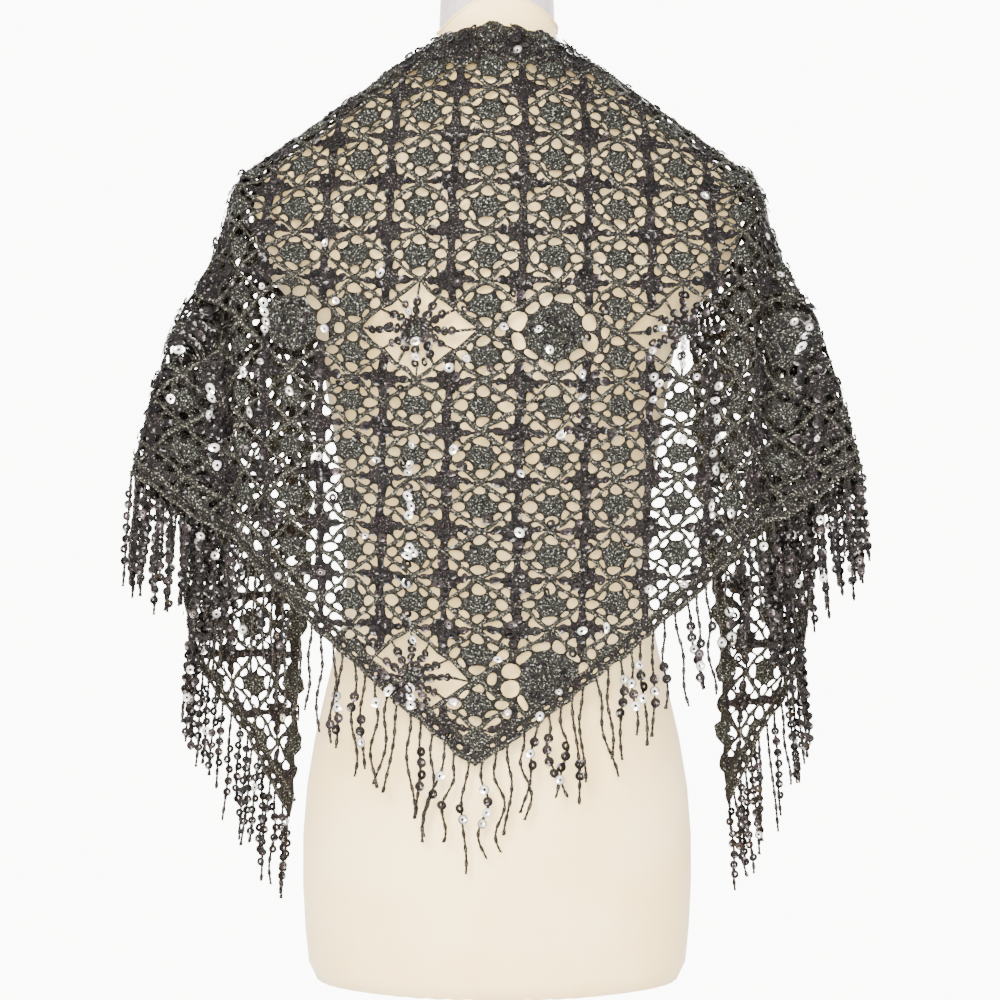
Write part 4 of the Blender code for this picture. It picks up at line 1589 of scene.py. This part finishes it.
for name, start, end in STRETCHES:
    ending = name.removeprefix("stole_")
    going_along = [STITCHES[name], SEQUINS[name]]
    going_along += [piece for fringe, piece in FRINGE_PIECES if fringe.endswith(ending)]
    print(name, "flat area", round(flat_area(start, end), 4))

# %% [markdown]
# ## Dress form
#
# The torso is padded and has a cover of stretched jersey. It could be sculpted, but it has to
# carry the cloth just where its solid does. So it is drawn up through the same sections as the
# CAD, and a subdivision surface rounds it.

# %% Sections of the form
# Each section gives the height, half width, half depth, middle in y, and fullness.
FORM_SECTIONS = (
    (0.675, 0.150, 0.112, 0.004, 2.0),
    (0.685, 0.156, 0.118, 0.004, 2.0),
    (0.760, 0.162, 0.120, 0.004, 2.0),
    (0.840, 0.160, 0.114, 0.004, 2.0),
    (0.920, 0.142, 0.100, 0.000, 2.0),
    (1.000, 0.120, 0.086, 0.000, 2.0),
    (1.080, 0.126, 0.092, 0.002, 2.0),
    (1.160, 0.140, 0.103, 0.006, 2.0),
    (1.210, 0.146, 0.106, 0.006, 2.0),
    (1.235, 0.164, 0.102, 0.002, 2.0),
    (1.255, 0.186, 0.096, -0.004, 2.0),
    (1.280, 0.197, 0.086, -0.008, 2.0),
    (1.305, 0.201, 0.073, -0.014, 2.0),
    (1.325, 0.198, 0.062, -0.018, 1.9),
    (1.342, 0.188, 0.053, -0.020, 1.8),
    (1.358, 0.170, 0.048, -0.020, 1.6),
    (1.376, 0.143, 0.046, -0.018, 1.40),
    (1.394, 0.119, 0.047, -0.017, 1.15),
    (1.412, 0.094, 0.049, -0.017, 0.92),
    (1.430, 0.069, 0.051, -0.011, 0.80),
    (1.442, 0.057, 0.051, 0.002, 1.10),
    (1.452, 0.051, 0.048, 0.014, 2.00),
)
print(len(FORM_SECTIONS), "sections, up to", FORM_SECTIONS[-1][0], "m")

# %% The padded torso
FORM_SIDES = 48


def form_point(turn, row):
    """The point of a section at a turn round the form, starting at the back."""
    height, half_width, half_depth, centre_y, fullness = FORM_SECTIONS[row]
    across, deep = (math.copysign(abs(part) ** (2.0 / fullness), part)
                    for part in (math.sin(turn), -math.cos(turn)))
    return (half_width * across, centre_y + half_depth * deep, height)


def tube(sides, rows, place):
    """A grid closed to a tube, each point of it where place(turn, row) says."""
    shape = bmesh.new()
    bmesh.ops.create_grid(shape, x_segments=sides, y_segments=rows - 1, size=0.5)
    for vertex in shape.verts:
        x, y, _ = vertex.co
        vertex.co = place(2 * math.pi * (x + 0.5), round((y + 0.5) * (rows - 1)))
    bmesh.ops.remove_doubles(shape, verts=shape.verts[:], dist=1e-6)
    return shape


def make_torso():
    """The torso, closed at both ends."""
    shape = tube(FORM_SIDES, len(FORM_SECTIONS), form_point)
    bmesh.ops.holes_fill(shape, edges=shape.edges[:], sides=0)
    bmesh.ops.recalc_face_normals(shape, faces=shape.faces[:])
    return take_arrays(shape)


torso = make_piece("form_padded_torso", make_torso(), [jersey])
torso.modifiers.new("rounding", "SUBSURF").levels = 1
torso.modifiers["rounding"].render_levels = 1
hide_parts("form_torso")

# %% [markdown]
# The jersey cover ends on the neck in a low arch with a rolled edge. It lies just clear of the
# plastic, and a ring of points, lifted and rolled row by row, is all that it needs.

# %% The cover on the neck
NECK_RADIUS = 0.048
NECK_CENTRE_Y = 0.014
COVER_SIDES = 64
COVER_LOW = 1.4495
COVER_ARCH = 1.4865
COVER_SIDE = 1.4600
COVER_STEEPNESS = 11.0
COVER_LIFT = 0.0008
ARCH_X = 0.004
COVER_RISE = (0.0, 0.25, 0.5, 0.75, 0.92)
COVER_ROLL = ((0.0006, 0.0008), (0.0013, 0.0004), (0.0016, -0.0004), (0.0010, -0.0012))


def cover_top(x, y):
    """How high the cover stands on the neck: an arch at the nape, low elsewhere."""
    if y > NECK_CENTRE_Y:
        return COVER_SIDE
    return max(COVER_SIDE, COVER_ARCH - COVER_STEEPNESS * (x - ARCH_X) ** 2)


def cover_point(turn, row):
    """A point of the cover: up to its top edge, then round the roll."""
    across = math.sin(turn)
    deep = -math.cos(turn)
    top = cover_top(NECK_RADIUS * across, NECK_CENTRE_Y + NECK_RADIUS * deep)
    if row < len(COVER_RISE):
        out = 0.0
        height = COVER_LOW + (top - COVER_LOW) * COVER_RISE[row]
    else:
        out, rise = COVER_ROLL[row - len(COVER_RISE)]
        height = top + rise
    reach = NECK_RADIUS + COVER_LIFT + out
    return (reach * across, NECK_CENTRE_Y + reach * deep, height)


def make_cover():
    """The part of the jersey cover that stands on the neck, with its rolled edge."""
    shape = tube(COVER_SIDES, len(COVER_RISE) + len(COVER_ROLL), cover_point)
    bmesh.ops.recalc_face_normals(shape, faces=shape.faces[:])
    return take_arrays(shape)


make_piece("form_neck_cover", make_cover(), [jersey])

# %% [markdown]
# The neck, the pole and the base are turned and moulded shapes, which their solids already have.
# They stay, and only get their real surface.

# %% Plastic neck and painted stand
def refinish(node, surface):
    """Give a CAD solid a better material."""
    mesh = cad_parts[node].data
    mesh.materials.clear()
    mesh.materials.append(surface)
    print(node, "in", surface.name)


refinish("form_neck", neck_plastic)
refinish("stand_pole", stand_paint)
refinish("stand_base", stand_paint)

# %% [markdown]
# ## Camera, light and floor
#
# The camera looks level at the back of the stole, from far enough for the form to look as it
# does across a room. The light is a soft studio: a pale room, one large lamp, one beside the
# line of sight that reaches the form through the net, and two small bright ones that wake the
# sequins.

# %% Camera and lamps
VIEW_CENTRE = Vector((0.0024, -0.08, 1.079))
VIEW_WIDTH = 0.80
VIEW_DISTANCE = 2.9
VIEW_RISE = math.radians(2.0)
SENSOR_WIDTH = 36.0


def make_camera():
    """A long lens that sees VIEW_WIDTH at the stole."""
    data = bpy.data.cameras.new("camera")
    data.sensor_width = SENSOR_WIDTH
    data.lens = SENSOR_WIDTH * VIEW_DISTANCE / VIEW_WIDTH
    made = new_object("camera", data)
    back = Vector((0.0, -math.cos(VIEW_RISE), math.sin(VIEW_RISE)))
    made.location = VIEW_CENTRE + back * VIEW_DISTANCE
    made.rotation_euler = (-back).to_track_quat("-Z", "Y").to_euler()
    bpy.context.scene.camera = made


def make_lamp(name, place, aim, power, size, colour):
    """A square soft lamp."""
    data = bpy.data.lights.new(name, "AREA")
    data.energy = power
    data.size = size
    data.color = linear(colour)[:3]
    made = new_object(name, data)
    made.location = place
    made.rotation_euler = (Vector(aim) - Vector(place)).to_track_quat("-Z", "Y").to_euler()
    made.visible_camera = False


# %% Room and floor
ROOM_BRIGHT = 12.0
ROOM_DIM = 2.0
FLOOR_RADIUS = 3.7


def make_room():
    """A pale room, brightest behind the form."""
    world = bpy.data.worlds.new("studio")
    bpy.context.scene.world = world
    world.use_nodes = True
    tree = world.node_tree
    background = tree.nodes["Background"]
    background.inputs["Color"].default_value = linear("#f6f4f1")
    direction = add_node(tree, "ShaderNodeTexCoord").outputs["Generated"]
    ahead = add_node(tree, "ShaderNodeSeparateXYZ", {"Vector": direction}).outputs["Y"]
    strength = add_node(
        tree, "ShaderNodeMapRange",
        {"Value": ahead, "From Min": 0.72, "From Max": 0.96, "To Min": ROOM_DIM, "To Max": ROOM_BRIGHT},
        interpolation_type="SMOOTHSTEP",
    )
    tree.links.new(strength.outputs["Result"], background.inputs["Strength"])


def make_floor():
    """A round pale floor, wide enough to fill the view."""
    shape = bmesh.new()
    bmesh.ops.create_circle(shape, cap_ends=True, segments=64, radius=FLOOR_RADIUS)
    bmesh.ops.reverse_faces(shape, faces=[face for face in shape.faces if face.normal.z < 0])
    floor = new_object("floor", as_mesh("floor", take_arrays(shape)))
    floor.data.materials.append(moulded("pale_floor", "#e9e7e4", "#eceae7", 0.7, 0.01, 0.0001))


# %% Set up the studio
make_camera()
make_room()
make_floor()
make_lamp("key", (-0.6, -2.9, 2.3), (0, 0, 1.15), 270.0, 1.2, "#fff8ee")
make_lamp("axis", (0.0, -3.4, 1.3), (0, 0, 1.1), 150.0, 0.4, "#fff8ee")
make_lamp("spark_left", (-0.9, -3.2, 1.9), (0, 0, 1.1), 30.0, 0.2, "#ffffff")
make_lamp("spark_right", (1.4, -3.0, 2.2), (0, 0, 1.1), 30.0, 0.2, "#ffffff")
make_lamp("front_fill", (1.2, 2.8, 2.6), (0, 0, 1.1), 90.0, 1.2, "#ffffff")
print("lens", round(bpy.context.scene.camera.data.lens, 1), "mm")
